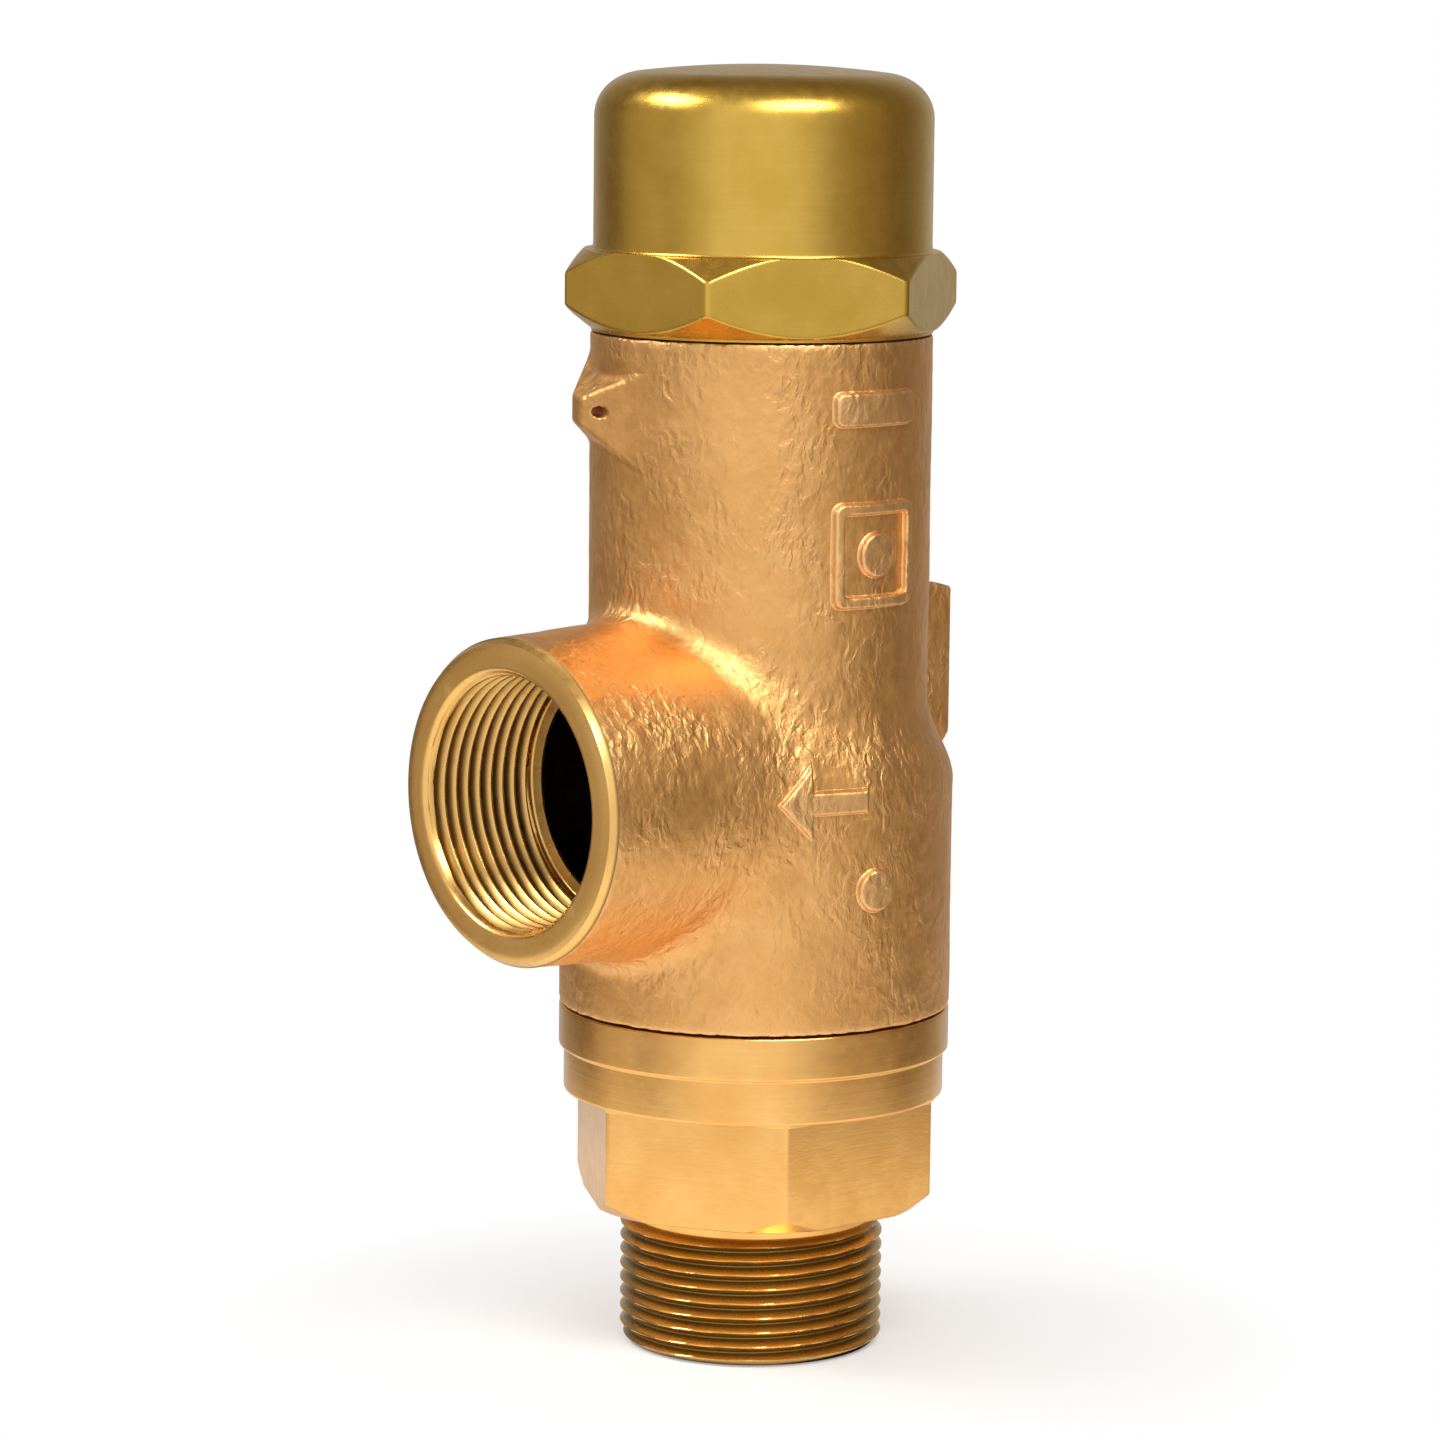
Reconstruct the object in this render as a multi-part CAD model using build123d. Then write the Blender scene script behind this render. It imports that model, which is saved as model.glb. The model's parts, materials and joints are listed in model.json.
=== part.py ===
from build123d import *
import os
from math import cos, radians, sin, sqrt

# Spring-loaded pressure relief valve with a screwed inlet, a screwed side outlet and a screwed cap.
# The origin is the centre of the inlet thread's end face. +Z runs up the valve's axis to the cap.
# The outlet faces -Y. Sizes are in millimetres. Angles are in degrees about +Z, from +X.
# A screw thread is a plain land: an outside pipe thread at its major radius, an inside one at its minor.
# The two lands of an inner screw pair lie a thread clearance apart.

# Clearances
RUNNING_CLEARANCE = 0.08  # spindle in its bush
SCREW_CLEARANCE = 0.1  # between the lands of a screw pair
SEATED_CLEARANCE = 0.05  # between pieces that sit in one another
FREE_CLEARANCE = 0.3  # between pieces that only pass one another
OVERRUN = 1.0  # how far a cut runs past its face, or a joined solid runs into its neighbour

# Pipe threads, G 1 1/4
PIPE_MAJOR_R = 20.955
PIPE_MINOR_R = 19.476
PIPE_LEAD_CHAMFER = 1.2

# Inlet nozzle, from the bottom up
INLET_THREAD_LENGTH = 20.0
INLET_RELIEF_LENGTH = 3.0
INLET_RELIEF_R = 19.2
INLET_HEX_ACROSS_FLATS = 52.0
INLET_HEX_HEIGHT = 17.6
INLET_HEX_CORNER_DEG = -91.0
INLET_HEX_LOWER_R = 27.2  # where the hexagon's lower chamfer starts
INLET_HEX_CHAMFER_HEIGHT = 2.2
INLET_HEX_CORNER_R = 29.8  # the turned bar that leaves the hexagon's corners rounded
LOWER_FLANGE_SETBACK = 0.8
LOWER_FLANGE_HEIGHT = 7.2
UPPER_FLANGE_HEIGHT = 6.8
INLET_BORE_R = 16.0
INLET_TAPER_HEIGHT = 42.0
ORIFICE_R = 12.5
SEAT_LIP_WIDTH = 2.0
SEAT_LIP_HEIGHT = 1.0
NOZZLE_NECK_R = 17.5
NOZZLE_NECK_HEIGHT = 4.0
NOZZLE_GASKET_WIDTH = 3.4
NOZZLE_GASKET_THICKNESS = 1.2

# Body casting
BODY_SEAM_GAP = 0.4
BODY_HEIGHT = 106.0
LOWER_BODY_R = 31.0
UPPER_BODY_R = 26.8
FLARE_START = 36.0  # above the body's lower end
FLARE_LENGTH = 13.0
LOWER_BODY_WALL = 6.0
UPPER_BODY_WALL = 4.2
NOZZLE_BORE_STEP = 1.0
SPRING_CHAMBER_STEP = 2.1
NECK_HEIGHT = 12.0
NECK_STEP = 2.9
NECK_WALL = 5.7
NECK_FLOOR = 3.0
SEAT_RISE = 15.0  # seat above the body's lower end

# Outlet boss
OUTLET_RISE = 36.2  # above the body's lower end
OUTLET_REACH = 51.0
OUTLET_BOSS_R = 25.2
OUTLET_DRAFT_DEG = 2.6
OUTLET_RIM_FILLET = 2.4
OUTLET_THREAD_LENGTH = 18.0
OUTLET_MOUTH_R = 20.5
OUTLET_PASSAGE_R = 17.4
OUTLET_ROOT_FILLET = 3.5

# Rear pad, wire lug and raised marks
PAD_HALF_WIDTH = 10.5
PAD_REACH = 32.0
PAD_LOW = 41.0  # above the body's lower end
PAD_HIGH = 65.8
PAD_CHAMFER = 4.0
PAD_EDGE_FILLET = 1.0
LUG_DEG = -110.0
LUG_DROP = 11.5  # lug's centre below the body's shoulder
LUG_RISE = 4.1
LUG_SINK = 3.8  # lug's foot inside the body's side
LUG_FOOT_WIDTH = 26.0
LUG_FOOT_HEIGHT = 17.2
LUG_TIP_WIDTH = 3.6
LUG_TIP_HEIGHT = 4.0
LUG_HOLE_DROP = 2.3  # hole's centre below the lug's tip
LUG_HOLE_R = 0.9
MARK_RISE = 0.7
ARROW_DEG = -22.0
ARROW_LENGTH = 15.0
ARROW_HEAD_WIDTH = 11.0
ARROW_SHAFT_WIDTH = 3.4
PLATE_DEG = 0.5
PLATE_DROP = 32.5
PLATE_SIDE = 16.0
PLATE_FRAME = 1.6
PLATE_BOSS_R = 3.4
BAR_DROP = 10.0
BAR_LENGTH = 16.0
BAR_WIDTH = 5.0
DISC_MARK_DEG = -5.0
DISC_MARK_RISE = 22.0
DISC_MARK_R = 3.2

# Guide plate, hub and bush
LIFT = 8.0
GUIDE_DROP = 41.5  # plate's top below the body's shoulder
GUIDE_PLATE_THICKNESS = 6.0
GUIDE_HUB_R = 12.0
GUIDE_RIB_REACH = 4.0  # from the hub out along the plate's underside
BUSH_R = 9.0
BUSH_FLANGE_R = 11.0
BUSH_FLANGE_THICKNESS = 1.4
O_RING_SECTION_R = 1.0
RETAINING_RING_THICKNESS = 1.5
RETAINING_RING_DEPTH = 1.1
RETAINING_RING_WIDTH = 3.6
RETAINING_RING_GAP = 6.0

# Disc, ball, spindle and pin
SEAT_DISC_OVERHANG = 1.3
SEAT_DISC_THICKNESS = 3.45
DISC_RIM_WALL = 2.2
DISC_RIM_LIFT = 1.0
DISC_WEB_THICKNESS = 7.0
DISC_HUB_HEIGHT = 12.0
DISC_HUB_R = 10.0
DISC_WASHER_R = 9.0
DISC_WASHER_THICKNESS = 1.5
DISC_SCREW_R = 3.0
DISC_SCREW_DEPTH = 5.6
DISC_SCREW_HEAD_FLATS = 10.0
DISC_SCREW_HEAD_HEIGHT = 4.0
BALL_R = 3.5
BALL_SINK = 0.6
BALL_GAP = 1.2
SPINDLE_R = 7.0
SPINDLE_UPPER_R = 5.0
SPINDLE_TIP = 1.0
PIN_R = 1.5
PIN_DROP = 2.8  # below the disc hub's top

# Spring and its plates
SPRING_SIDE_CLEARANCE = 3.5
SPRING_WIRE_R = 2.0
SPRING_TURNS = 4.5
SPRING_PLATE_GAP = 2.5  # lower plate above the guide plate
SPRING_PLATE_THICKNESS = 5.0
SPRING_PILOT_HEIGHT = 3.0
THRUST_WASHER_THICKNESS = 1.0
THRUST_WASHER_R = 12.0

# Adjusting screw and its lock ring
ADJUST = 3.0
SCREW_START = 4.0  # screw's lower end above the body's shoulder
SCREW_THREAD_LENGTH = 16.0
SCREW_HEX_FLATS = 22.0
SCREW_HEX_HEIGHT = 8.0
LOCK_WASHER_THICKNESS = 1.0
LOCK_RING_SETBACK = 2.4  # inside the neck's outside radius
LOCK_RING_HEIGHT = 6.0
LOCK_RING_SLOT_WIDTH = 4.0
LOCK_RING_SLOT_DEPTH = 2.0
LOCK_RING_CHAMFER = 0.8

# Cap
CAP_SEAM_GAP = 0.3
CAP_HEIGHT = 41.4
CAP_SETBACK = 0.3  # dome inside the upper body
CAP_SKIRT_HEIGHT = 1.3
CAP_HEX_FLATS = 55.0
CAP_HEX_TOP = 12.7  # above the cap's lower end
CAP_HEX_CORNER_DEG = 3.0
CAP_HEX_LOWER_CHAMFER_R = 27.4
CAP_HEX_UPPER_CHAMFER_R = 27.9
CAP_HEX_CHAMFER_DROP = 3.6  # of each chamfer, at the hexagon's corners
CAP_ROUNDING_R = 7.0
CAP_CROWN = 1.2  # rise of the domed top
CAP_WALL = 3.6
CAP_TOP_WALL = 3.4
CAP_THREAD_RUNOUT = 0.8
CAP_GASKET_THICKNESS = 1.2
CAP_GASKET_WIDTH = 1.5

# Heights, from the bottom up
Z_RELIEF = INLET_THREAD_LENGTH
Z_HEX = Z_RELIEF + INLET_RELIEF_LENGTH
Z_LOWER_FLANGE = Z_HEX + INLET_HEX_HEIGHT
Z_UPPER_FLANGE = Z_LOWER_FLANGE + LOWER_FLANGE_HEIGHT
Z_FLANGE_TOP = Z_UPPER_FLANGE + UPPER_FLANGE_HEIGHT
Z_BODY = Z_FLANGE_TOP + BODY_SEAM_GAP
Z_SEAT = Z_BODY + SEAT_RISE
Z_NOZZLE_LAND_TOP = Z_SEAT - NOZZLE_NECK_HEIGHT
Z_OUTLET = Z_BODY + OUTLET_RISE
Z_SHOULDER = Z_BODY + BODY_HEIGHT
Z_NECK_TOP = Z_SHOULDER + NECK_HEIGHT
Z_GUIDE_TOP = Z_SHOULDER - GUIDE_DROP
Z_GUIDE_LOW = Z_GUIDE_TOP - GUIDE_PLATE_THICKNESS
Z_DISC_LOW = Z_SEAT + SEATED_CLEARANCE
Z_DISC_WEB = Z_DISC_LOW + SEAT_DISC_THICKNESS
Z_DISC_FLOOR = Z_DISC_WEB + DISC_WEB_THICKNESS
Z_DISC_HUB_TOP = Z_DISC_FLOOR + DISC_HUB_HEIGHT
Z_BALL = Z_DISC_FLOOR + BALL_R - BALL_SINK
Z_SPINDLE_LOW = Z_BALL + BALL_GAP / 2
Z_PIN = Z_DISC_HUB_TOP - PIN_DROP
Z_GUIDE_HUB_LOW = Z_DISC_HUB_TOP + LIFT + FREE_CLEARANCE
Z_LOWER_PLATE = Z_GUIDE_TOP + SPRING_PLATE_GAP
Z_SPRING_LOW = Z_LOWER_PLATE + SPRING_PLATE_THICKNESS
Z_SCREW = Z_SHOULDER + SCREW_START
Z_THRUST_WASHER = Z_SCREW - SEATED_CLEARANCE - THRUST_WASHER_THICKNESS
Z_UPPER_PLATE = Z_THRUST_WASHER - SPRING_PLATE_THICKNESS
Z_SCREW_HEX = Z_SCREW + SCREW_THREAD_LENGTH
Z_SCREW_TOP = Z_SCREW_HEX + SCREW_HEX_HEIGHT
Z_LOCK_WASHER = Z_NECK_TOP + SEATED_CLEARANCE
Z_LOCK_RING = Z_LOCK_WASHER + LOCK_WASHER_THICKNESS + SEATED_CLEARANCE
Z_CAP = Z_SHOULDER + CAP_SEAM_GAP
Z_CAP_TOP = Z_CAP + CAP_HEIGHT

# Radii that follow from the body's
CHAMBER_R = LOWER_BODY_R - LOWER_BODY_WALL
NOZZLE_BORE_R = CHAMBER_R + NOZZLE_BORE_STEP
NOZZLE_LAND_R = NOZZLE_BORE_R - SCREW_CLEARANCE
GUIDE_BORE_R = UPPER_BODY_R - UPPER_BODY_WALL
GUIDE_PLATE_R = GUIDE_BORE_R - SEATED_CLEARANCE
RETAINING_RING_R = GUIDE_BORE_R + RETAINING_RING_DEPTH
RETAINING_RING_INNER_R = RETAINING_RING_R - RETAINING_RING_WIDTH
GUIDE_RIB_R = min(GUIDE_HUB_R + GUIDE_RIB_REACH, RETAINING_RING_INNER_R - FREE_CLEARANCE)
SPRING_CHAMBER_R = GUIDE_BORE_R - SPRING_CHAMBER_STEP
NECK_R = UPPER_BODY_R - NECK_STEP
SCREW_BORE_R = NECK_R - NECK_WALL
SCREW_LAND_R = SCREW_BORE_R - SCREW_CLEARANCE
SPRING_OUTER_R = SPRING_CHAMBER_R - SPRING_SIDE_CLEARANCE
SPRING_INNER_R = SPRING_OUTER_R - 2 * SPRING_WIRE_R
SEAT_LIP_R = ORIFICE_R + SEAT_LIP_WIDTH
SEAT_DISC_R = SEAT_LIP_R + SEAT_DISC_OVERHANG
DISC_HOLDER_R = SEAT_DISC_R + SEATED_CLEARANCE + DISC_RIM_WALL
SPINDLE_BORE_R = SPINDLE_R + RUNNING_CLEARANCE
STEM_PASSAGE_R = SPINDLE_UPPER_R + FREE_CLEARANCE
CAP_BORE_R = NECK_R + SCREW_CLEARANCE
CAP_DOME_R = UPPER_BODY_R - CAP_SETBACK
BASE = (Align.CENTER, Align.CENTER, Align.MIN)


def turned(*outline):
    """A closed outline of (radius, height) points, turned about the valve's axis."""
    points = [(radius, 0, height) for radius, height in outline]
    return revolve(make_face(Polyline(*points, close=True)), axis=Axis.Z)


def rod(radius, low, high):
    """A round bar on the valve's axis, from one height to another."""
    return Pos(0, 0, low) * Cylinder(radius, high - low, align=BASE)


def ring(outer_r, inner_r, low, high):
    """A flat ring on the valve's axis."""
    return rod(outer_r, low, high) - rod(inner_r, low - OVERRUN, high + OVERRUN)


def hexagon(flats, low, high, corner_deg=0.0):
    """A hexagonal bar on the valve's axis, with a corner at the given angle."""
    corner_r = flats / sqrt(3)
    turns = [radians(corner_deg + 60 * side) for side in range(6)]
    corners = [(corner_r * cos(turn), corner_r * sin(turn), low) for turn in turns]
    return extrude(make_face(Polyline(*corners, close=True)), amount=high - low, dir=(0, 0, 1))


def body_outline(rise=0.0):
    """The casting's outside from its lower end to its shoulder, moved out by rise, turned to a solid."""
    lower_r = LOWER_BODY_R + rise
    upper_r = UPPER_BODY_R + rise
    flare_low = Z_BODY + FLARE_START
    flare_high = flare_low + FLARE_LENGTH
    side = Line((lower_r, 0, Z_BODY), (lower_r, 0, flare_low))
    flare = Spline(side @ 1, (upper_r, 0, flare_high), tangents=[(0, 0, 1), (0, 0, 1)])
    rest = Polyline(flare @ 1, (upper_r, 0, Z_SHOULDER), (0, 0, Z_SHOULDER), (0, 0, Z_BODY), side @ 0)
    return revolve(make_face(side + flare + rest), axis=Axis.Z)


def outward(degrees, height):
    """A plane on the axis at this height, whose normal points outward and whose Y points up."""
    out = Vector(cos(radians(degrees)), sin(radians(degrees)), 0)
    return Plane(origin=(0, 0, height), x_dir=Vector(0, 0, 1).cross(out), z_dir=out)


def raised(sketch, degrees, height):
    """A flat sketch drawn outward through the casting's side, still to be cut to a mark's height."""
    return extrude(outward(degrees, height) * sketch, amount=2 * LOWER_BODY_R)


def arrow():
    """The flow arrow, which points to the outlet."""
    half = ARROW_LENGTH / 2
    neck = -half + ARROW_HEAD_WIDTH / 2
    shaft = ARROW_SHAFT_WIDTH / 2
    head = ARROW_HEAD_WIDTH / 2
    upper = [(-half, 0), (neck, head), (neck, shaft), (half, shaft)]
    lower = [(x, -y) for x, y in reversed(upper[1:])]
    return make_face(Polyline(*upper, *lower, close=True))


def marks():
    """The raised arrow, a blank square frame with a round boss, a blank bar and a blank disc."""
    frame = RectangleRounded(PLATE_SIDE, PLATE_SIDE, PLATE_FRAME)
    inside = PLATE_SIDE - 2 * PLATE_FRAME
    frame = frame - RectangleRounded(inside, inside, PLATE_FRAME / 2) + Circle(PLATE_BOSS_R)
    bar = RectangleRounded(BAR_LENGTH, BAR_WIDTH, BAR_WIDTH / 4)
    columns = [
        raised(arrow(), ARROW_DEG, Z_OUTLET),
        raised(frame, PLATE_DEG, Z_SHOULDER - PLATE_DROP),
        raised(bar, PLATE_DEG, Z_SHOULDER - BAR_DROP),
        raised(Circle(DISC_MARK_R), DISC_MARK_DEG, Z_BODY + DISC_MARK_RISE),
    ]
    skin = cast_outside(MARK_RISE)
    return [column & skin for column in columns]


def outlet_boss(rise=0.0):
    """The outlet's outside: a drafted cone, rounded at the rim, that ends in a globe on the valve's axis."""
    rim_r = OUTLET_BOSS_R + rise
    root_r = rim_r + OUTLET_REACH * sin(radians(OUTLET_DRAFT_DEG))
    mouth = Plane(origin=(0, -OUTLET_REACH, Z_OUTLET), z_dir=(0, 1, 0))
    cone = mouth * Cone(rim_r, root_r, OUTLET_REACH, align=BASE)
    rim = cone.faces().sort_by(Axis.Y)[0].edges()
    return fillet(rim, OUTLET_RIM_FILLET) + Pos(0, 0, Z_OUTLET) * Sphere(root_r)


def cast_outside(rise=0.0):
    """The turned body and the outlet's boss with a fillet between them, all moved out by rise."""
    casting = body_outline(rise) + outlet_boss(rise)
    join = [edge for edge in casting.edges() if edge.geom_type not in (GeomType.CIRCLE, GeomType.LINE)]
    return fillet(join, OUTLET_ROOT_FILLET - rise)


def outlet_hole():
    """The outlet's chamfered mouth, thread land and passage into the chamber."""
    mouth = Plane(origin=(0, -OUTLET_REACH, Z_OUTLET), z_dir=(0, 1, 0))
    chamfer_depth = OUTLET_MOUTH_R - PIPE_MINOR_R
    lead = mouth * Cone(OUTLET_MOUTH_R, PIPE_MINOR_R, chamfer_depth, align=BASE)
    land = mouth * Cylinder(PIPE_MINOR_R, chamfer_depth + OUTLET_THREAD_LENGTH, align=BASE)
    passage = mouth * Cylinder(OUTLET_PASSAGE_R, OUTLET_REACH, align=BASE)
    return lead + land + passage


def rear_pad():
    """A blank flat pad opposite the outlet, sloped at its top and bottom."""
    low = Z_BODY + PAD_LOW
    high = Z_BODY + PAD_HIGH
    side = [
        (0, 0, low - PAD_CHAMFER),
        (0, PAD_REACH - PAD_CHAMFER, low - PAD_CHAMFER),
        (0, PAD_REACH, low),
        (0, PAD_REACH, high - PAD_CHAMFER / 4),
        (0, PAD_REACH - PAD_CHAMFER, high),
        (0, 0, high),
    ]
    pad = extrude(make_face(Polyline(*side, close=True)), amount=PAD_HALF_WIDTH, dir=(1, 0, 0), both=True)
    corners = pad.edges().filter_by(Axis.Z).group_by(Axis.Y)[-1]
    return fillet(corners, PAD_EDGE_FILLET)


def wire_lug():
    """The tapered ear near the shoulder, which a seal wire passes through."""
    centre = outward(LUG_DEG, Z_SHOULDER - LUG_DROP)
    foot = centre.offset(UPPER_BODY_R - LUG_SINK) * Rectangle(LUG_FOOT_WIDTH, LUG_FOOT_HEIGHT)
    tip = centre.offset(UPPER_BODY_R + LUG_RISE) * Rectangle(LUG_TIP_WIDTH, LUG_TIP_HEIGHT)
    return loft([foot, tip], ruled=True)


def wire_hole():
    """The drilled hole along the lug, level and across its outward direction."""
    centre = outward(LUG_DEG, Z_SHOULDER - LUG_DROP)
    hole_reach = UPPER_BODY_R + LUG_RISE - LUG_HOLE_DROP
    across = Plane(origin=centre.origin + centre.z_dir * hole_reach, z_dir=centre.x_dir)
    return across * Cylinder(LUG_HOLE_R, LUG_FOOT_WIDTH)


def body_hollow():
    """Everything turned inside the casting, from the nozzle's thread to the adjusting screw's."""
    flare_low = Z_BODY + FLARE_START
    return turned(
        (0, Z_BODY - OVERRUN),
        (NOZZLE_BORE_R, Z_BODY - OVERRUN),
        (NOZZLE_BORE_R, Z_NOZZLE_LAND_TOP + FREE_CLEARANCE),
        (CHAMBER_R, Z_NOZZLE_LAND_TOP + FREE_CLEARANCE),
        (CHAMBER_R, flare_low),
        (GUIDE_BORE_R, flare_low + FLARE_LENGTH / 2),
        (GUIDE_BORE_R, Z_GUIDE_TOP),
        (SPRING_CHAMBER_R, Z_GUIDE_TOP),
        (SPRING_CHAMBER_R, Z_SHOULDER - NECK_FLOOR),
        (SCREW_BORE_R, Z_SHOULDER - NECK_FLOOR),
        (SCREW_BORE_R, Z_NECK_TOP + OVERRUN),
        (0, Z_NECK_TOP + OVERRUN),
    )


def retaining_groove():
    """The groove for the guide plate's retaining ring."""
    high = Z_GUIDE_LOW
    low = high - RETAINING_RING_THICKNESS - SEATED_CLEARANCE
    return ring(RETAINING_RING_R + SEATED_CLEARANCE, GUIDE_BORE_R - OVERRUN, low, high)


def valve_body():
    """The cast body with its side outlet, pad, lug, marks and screwed neck."""
    casting = cast_outside()
    casting = casting + rear_pad() + wire_lug() + rod(NECK_R, Z_SHOULDER - OVERRUN, Z_NECK_TOP)
    for mark in marks():
        casting = casting + mark
    casting = casting - body_hollow() - retaining_groove() - wire_hole()
    return casting - outlet_hole()


def inlet_nozzle():
    """The screwed-in nozzle: pipe thread, hexagon, two flanges, body thread and seat."""
    lower_flange_r = LOWER_BODY_R - LOWER_FLANGE_SETBACK
    gasket_floor = Z_BODY - NOZZLE_GASKET_THICKNESS
    gasket_r = NOZZLE_BORE_R + NOZZLE_GASKET_WIDTH + SEATED_CLEARANCE
    stem = turned(
        (0, 0),
        (PIPE_MAJOR_R - PIPE_LEAD_CHAMFER, 0),
        (PIPE_MAJOR_R, PIPE_LEAD_CHAMFER),
        (PIPE_MAJOR_R, Z_RELIEF),
        (INLET_RELIEF_R, Z_RELIEF),
        (INLET_RELIEF_R, Z_HEX + OVERRUN),
        (0, Z_HEX + OVERRUN),
    )
    hexagon_bar = hexagon(INLET_HEX_ACROSS_FLATS, Z_HEX, Z_LOWER_FLANGE + OVERRUN, INLET_HEX_CORNER_DEG)
    envelope = turned(
        (0, Z_HEX),
        (INLET_HEX_LOWER_R, Z_HEX),
        (INLET_HEX_CORNER_R, Z_HEX + INLET_HEX_CHAMFER_HEIGHT),
        (INLET_HEX_CORNER_R, Z_LOWER_FLANGE + OVERRUN),
        (0, Z_LOWER_FLANGE + OVERRUN),
    )
    top = turned(
        (0, Z_LOWER_FLANGE),
        (lower_flange_r, Z_LOWER_FLANGE),
        (lower_flange_r, Z_UPPER_FLANGE),
        (LOWER_BODY_R, Z_UPPER_FLANGE),
        (LOWER_BODY_R, Z_FLANGE_TOP),
        (gasket_r, Z_FLANGE_TOP),
        (gasket_r, gasket_floor),
        (NOZZLE_LAND_R, gasket_floor),
        (NOZZLE_LAND_R, Z_NOZZLE_LAND_TOP),
        (NOZZLE_NECK_R, Z_NOZZLE_LAND_TOP),
        (NOZZLE_NECK_R, Z_SEAT - SEAT_LIP_HEIGHT),
        (SEAT_LIP_R, Z_SEAT - SEAT_LIP_HEIGHT),
        (SEAT_LIP_R, Z_SEAT),
        (0, Z_SEAT),
    )
    bore = turned(
        (0, -OVERRUN),
        (INLET_BORE_R, -OVERRUN),
        (INLET_BORE_R, 0),
        (ORIFICE_R, INLET_TAPER_HEIGHT),
        (ORIFICE_R, Z_SEAT + OVERRUN),
        (0, Z_SEAT + OVERRUN),
    )
    return stem + (hexagon_bar & envelope) + top - bore


def nozzle_gasket():
    """The flat gasket between the nozzle's upper flange and the body."""
    inner_r = NOZZLE_LAND_R + SCREW_CLEARANCE
    return ring(inner_r + NOZZLE_GASKET_WIDTH, inner_r, Z_BODY - NOZZLE_GASKET_THICKNESS, Z_BODY)


def guide_plate():
    """The plate that carries the spindle's bush, grooved for its O-ring, with a hub that stops the lift."""
    plate = rod(GUIDE_PLATE_R, Z_GUIDE_LOW, Z_GUIDE_TOP)
    hub = rod(GUIDE_HUB_R, Z_GUIDE_HUB_LOW, Z_GUIDE_LOW)
    rib = turned(
        (GUIDE_HUB_R, Z_GUIDE_LOW),
        (GUIDE_HUB_R, Z_GUIDE_LOW - GUIDE_RIB_R + GUIDE_HUB_R),
        (GUIDE_RIB_R, Z_GUIDE_LOW),
    )
    bush_bore = rod(BUSH_R + SEATED_CLEARANCE, Z_GUIDE_HUB_LOW - OVERRUN, Z_GUIDE_TOP + OVERRUN)
    middle = (Z_GUIDE_LOW + Z_GUIDE_TOP) / 2
    half = O_RING_SECTION_R + 2 * SEATED_CLEARANCE
    groove = ring(GUIDE_PLATE_R + OVERRUN, GUIDE_BORE_R - 2 * O_RING_SECTION_R, middle - half, middle + half)
    return plate + hub + rib - bush_bore - groove


def guide_bush():
    """The flanged bush in which the spindle slides."""
    flange_low = Z_GUIDE_TOP + SEATED_CLEARANCE
    flange_high = flange_low + BUSH_FLANGE_THICKNESS
    bush = rod(BUSH_R, Z_GUIDE_HUB_LOW, flange_high)
    flange = rod(BUSH_FLANGE_R, flange_low, flange_high)
    return bush + flange - rod(SPINDLE_BORE_R, Z_GUIDE_HUB_LOW - OVERRUN, flange_high + OVERRUN)


def guide_o_ring():
    """The O-ring that seals the guide plate in the body."""
    middle = (Z_GUIDE_LOW + Z_GUIDE_TOP) / 2
    section_r = O_RING_SECTION_R - SEATED_CLEARANCE / 2
    return Pos(0, 0, middle) * Torus(GUIDE_BORE_R - O_RING_SECTION_R, section_r)


def guide_retaining_ring():
    """The split ring that holds the guide plate up against the body's step."""
    high = Z_GUIDE_LOW - SEATED_CLEARANCE / 2
    low = high - RETAINING_RING_THICKNESS
    gap_height = 2 * (RETAINING_RING_THICKNESS + OVERRUN)
    gap = Pos(0, RETAINING_RING_R, low) * Box(RETAINING_RING_GAP, RETAINING_RING_R, gap_height)
    return ring(RETAINING_RING_R, RETAINING_RING_INNER_R, low, high) - gap


def spring():
    """The main spring, with its two ends ground flat."""
    low = Z_SPRING_LOW
    high = Z_UPPER_PLATE
    mean_r = SPRING_OUTER_R - SPRING_WIRE_R
    pitch = (high - low) / SPRING_TURNS
    path = Pos(0, 0, low) * Helix(pitch, high - low, mean_r)
    section = Plane(origin=path @ 0, z_dir=path % 0) * Circle(SPRING_WIRE_R)
    coils = sweep(section, path=path, is_frenet=True)
    return coils & rod(SPRING_OUTER_R + OVERRUN, low + SEATED_CLEARANCE, high - SEATED_CLEARANCE)


def disc_holder():
    """The disc's holder: a rim round the soft seat and a hub for the spindle's end."""
    solid = turned(
        (0, Z_SEAT + DISC_RIM_LIFT),
        (DISC_HOLDER_R, Z_SEAT + DISC_RIM_LIFT),
        (DISC_HOLDER_R, Z_DISC_FLOOR - DISC_WEB_THICKNESS / 2),
        (DISC_HUB_R, Z_DISC_FLOOR),
        (DISC_HUB_R, Z_DISC_HUB_TOP),
        (0, Z_DISC_HUB_TOP),
    )
    seat_recess = rod(SEAT_DISC_R + SEATED_CLEARANCE, Z_SEAT, Z_DISC_WEB)
    spindle_bore = rod(SPINDLE_R + SEATED_CLEARANCE, Z_DISC_FLOOR, Z_DISC_HUB_TOP + OVERRUN)
    dimple = Pos(0, 0, Z_BALL) * Sphere(BALL_R + SEATED_CLEARANCE)
    screw_hole = rod(DISC_SCREW_R + SEATED_CLEARANCE, Z_SEAT, Z_DISC_WEB + DISC_SCREW_DEPTH)
    across = Pos(0, 0, Z_PIN) * Rot(0, 90, 0)
    pin_hole = across * Cylinder(PIN_R + SEATED_CLEARANCE, 2 * (DISC_HUB_R + OVERRUN))
    return solid - seat_recess - spindle_bore - dimple - screw_hole - pin_hole


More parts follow.
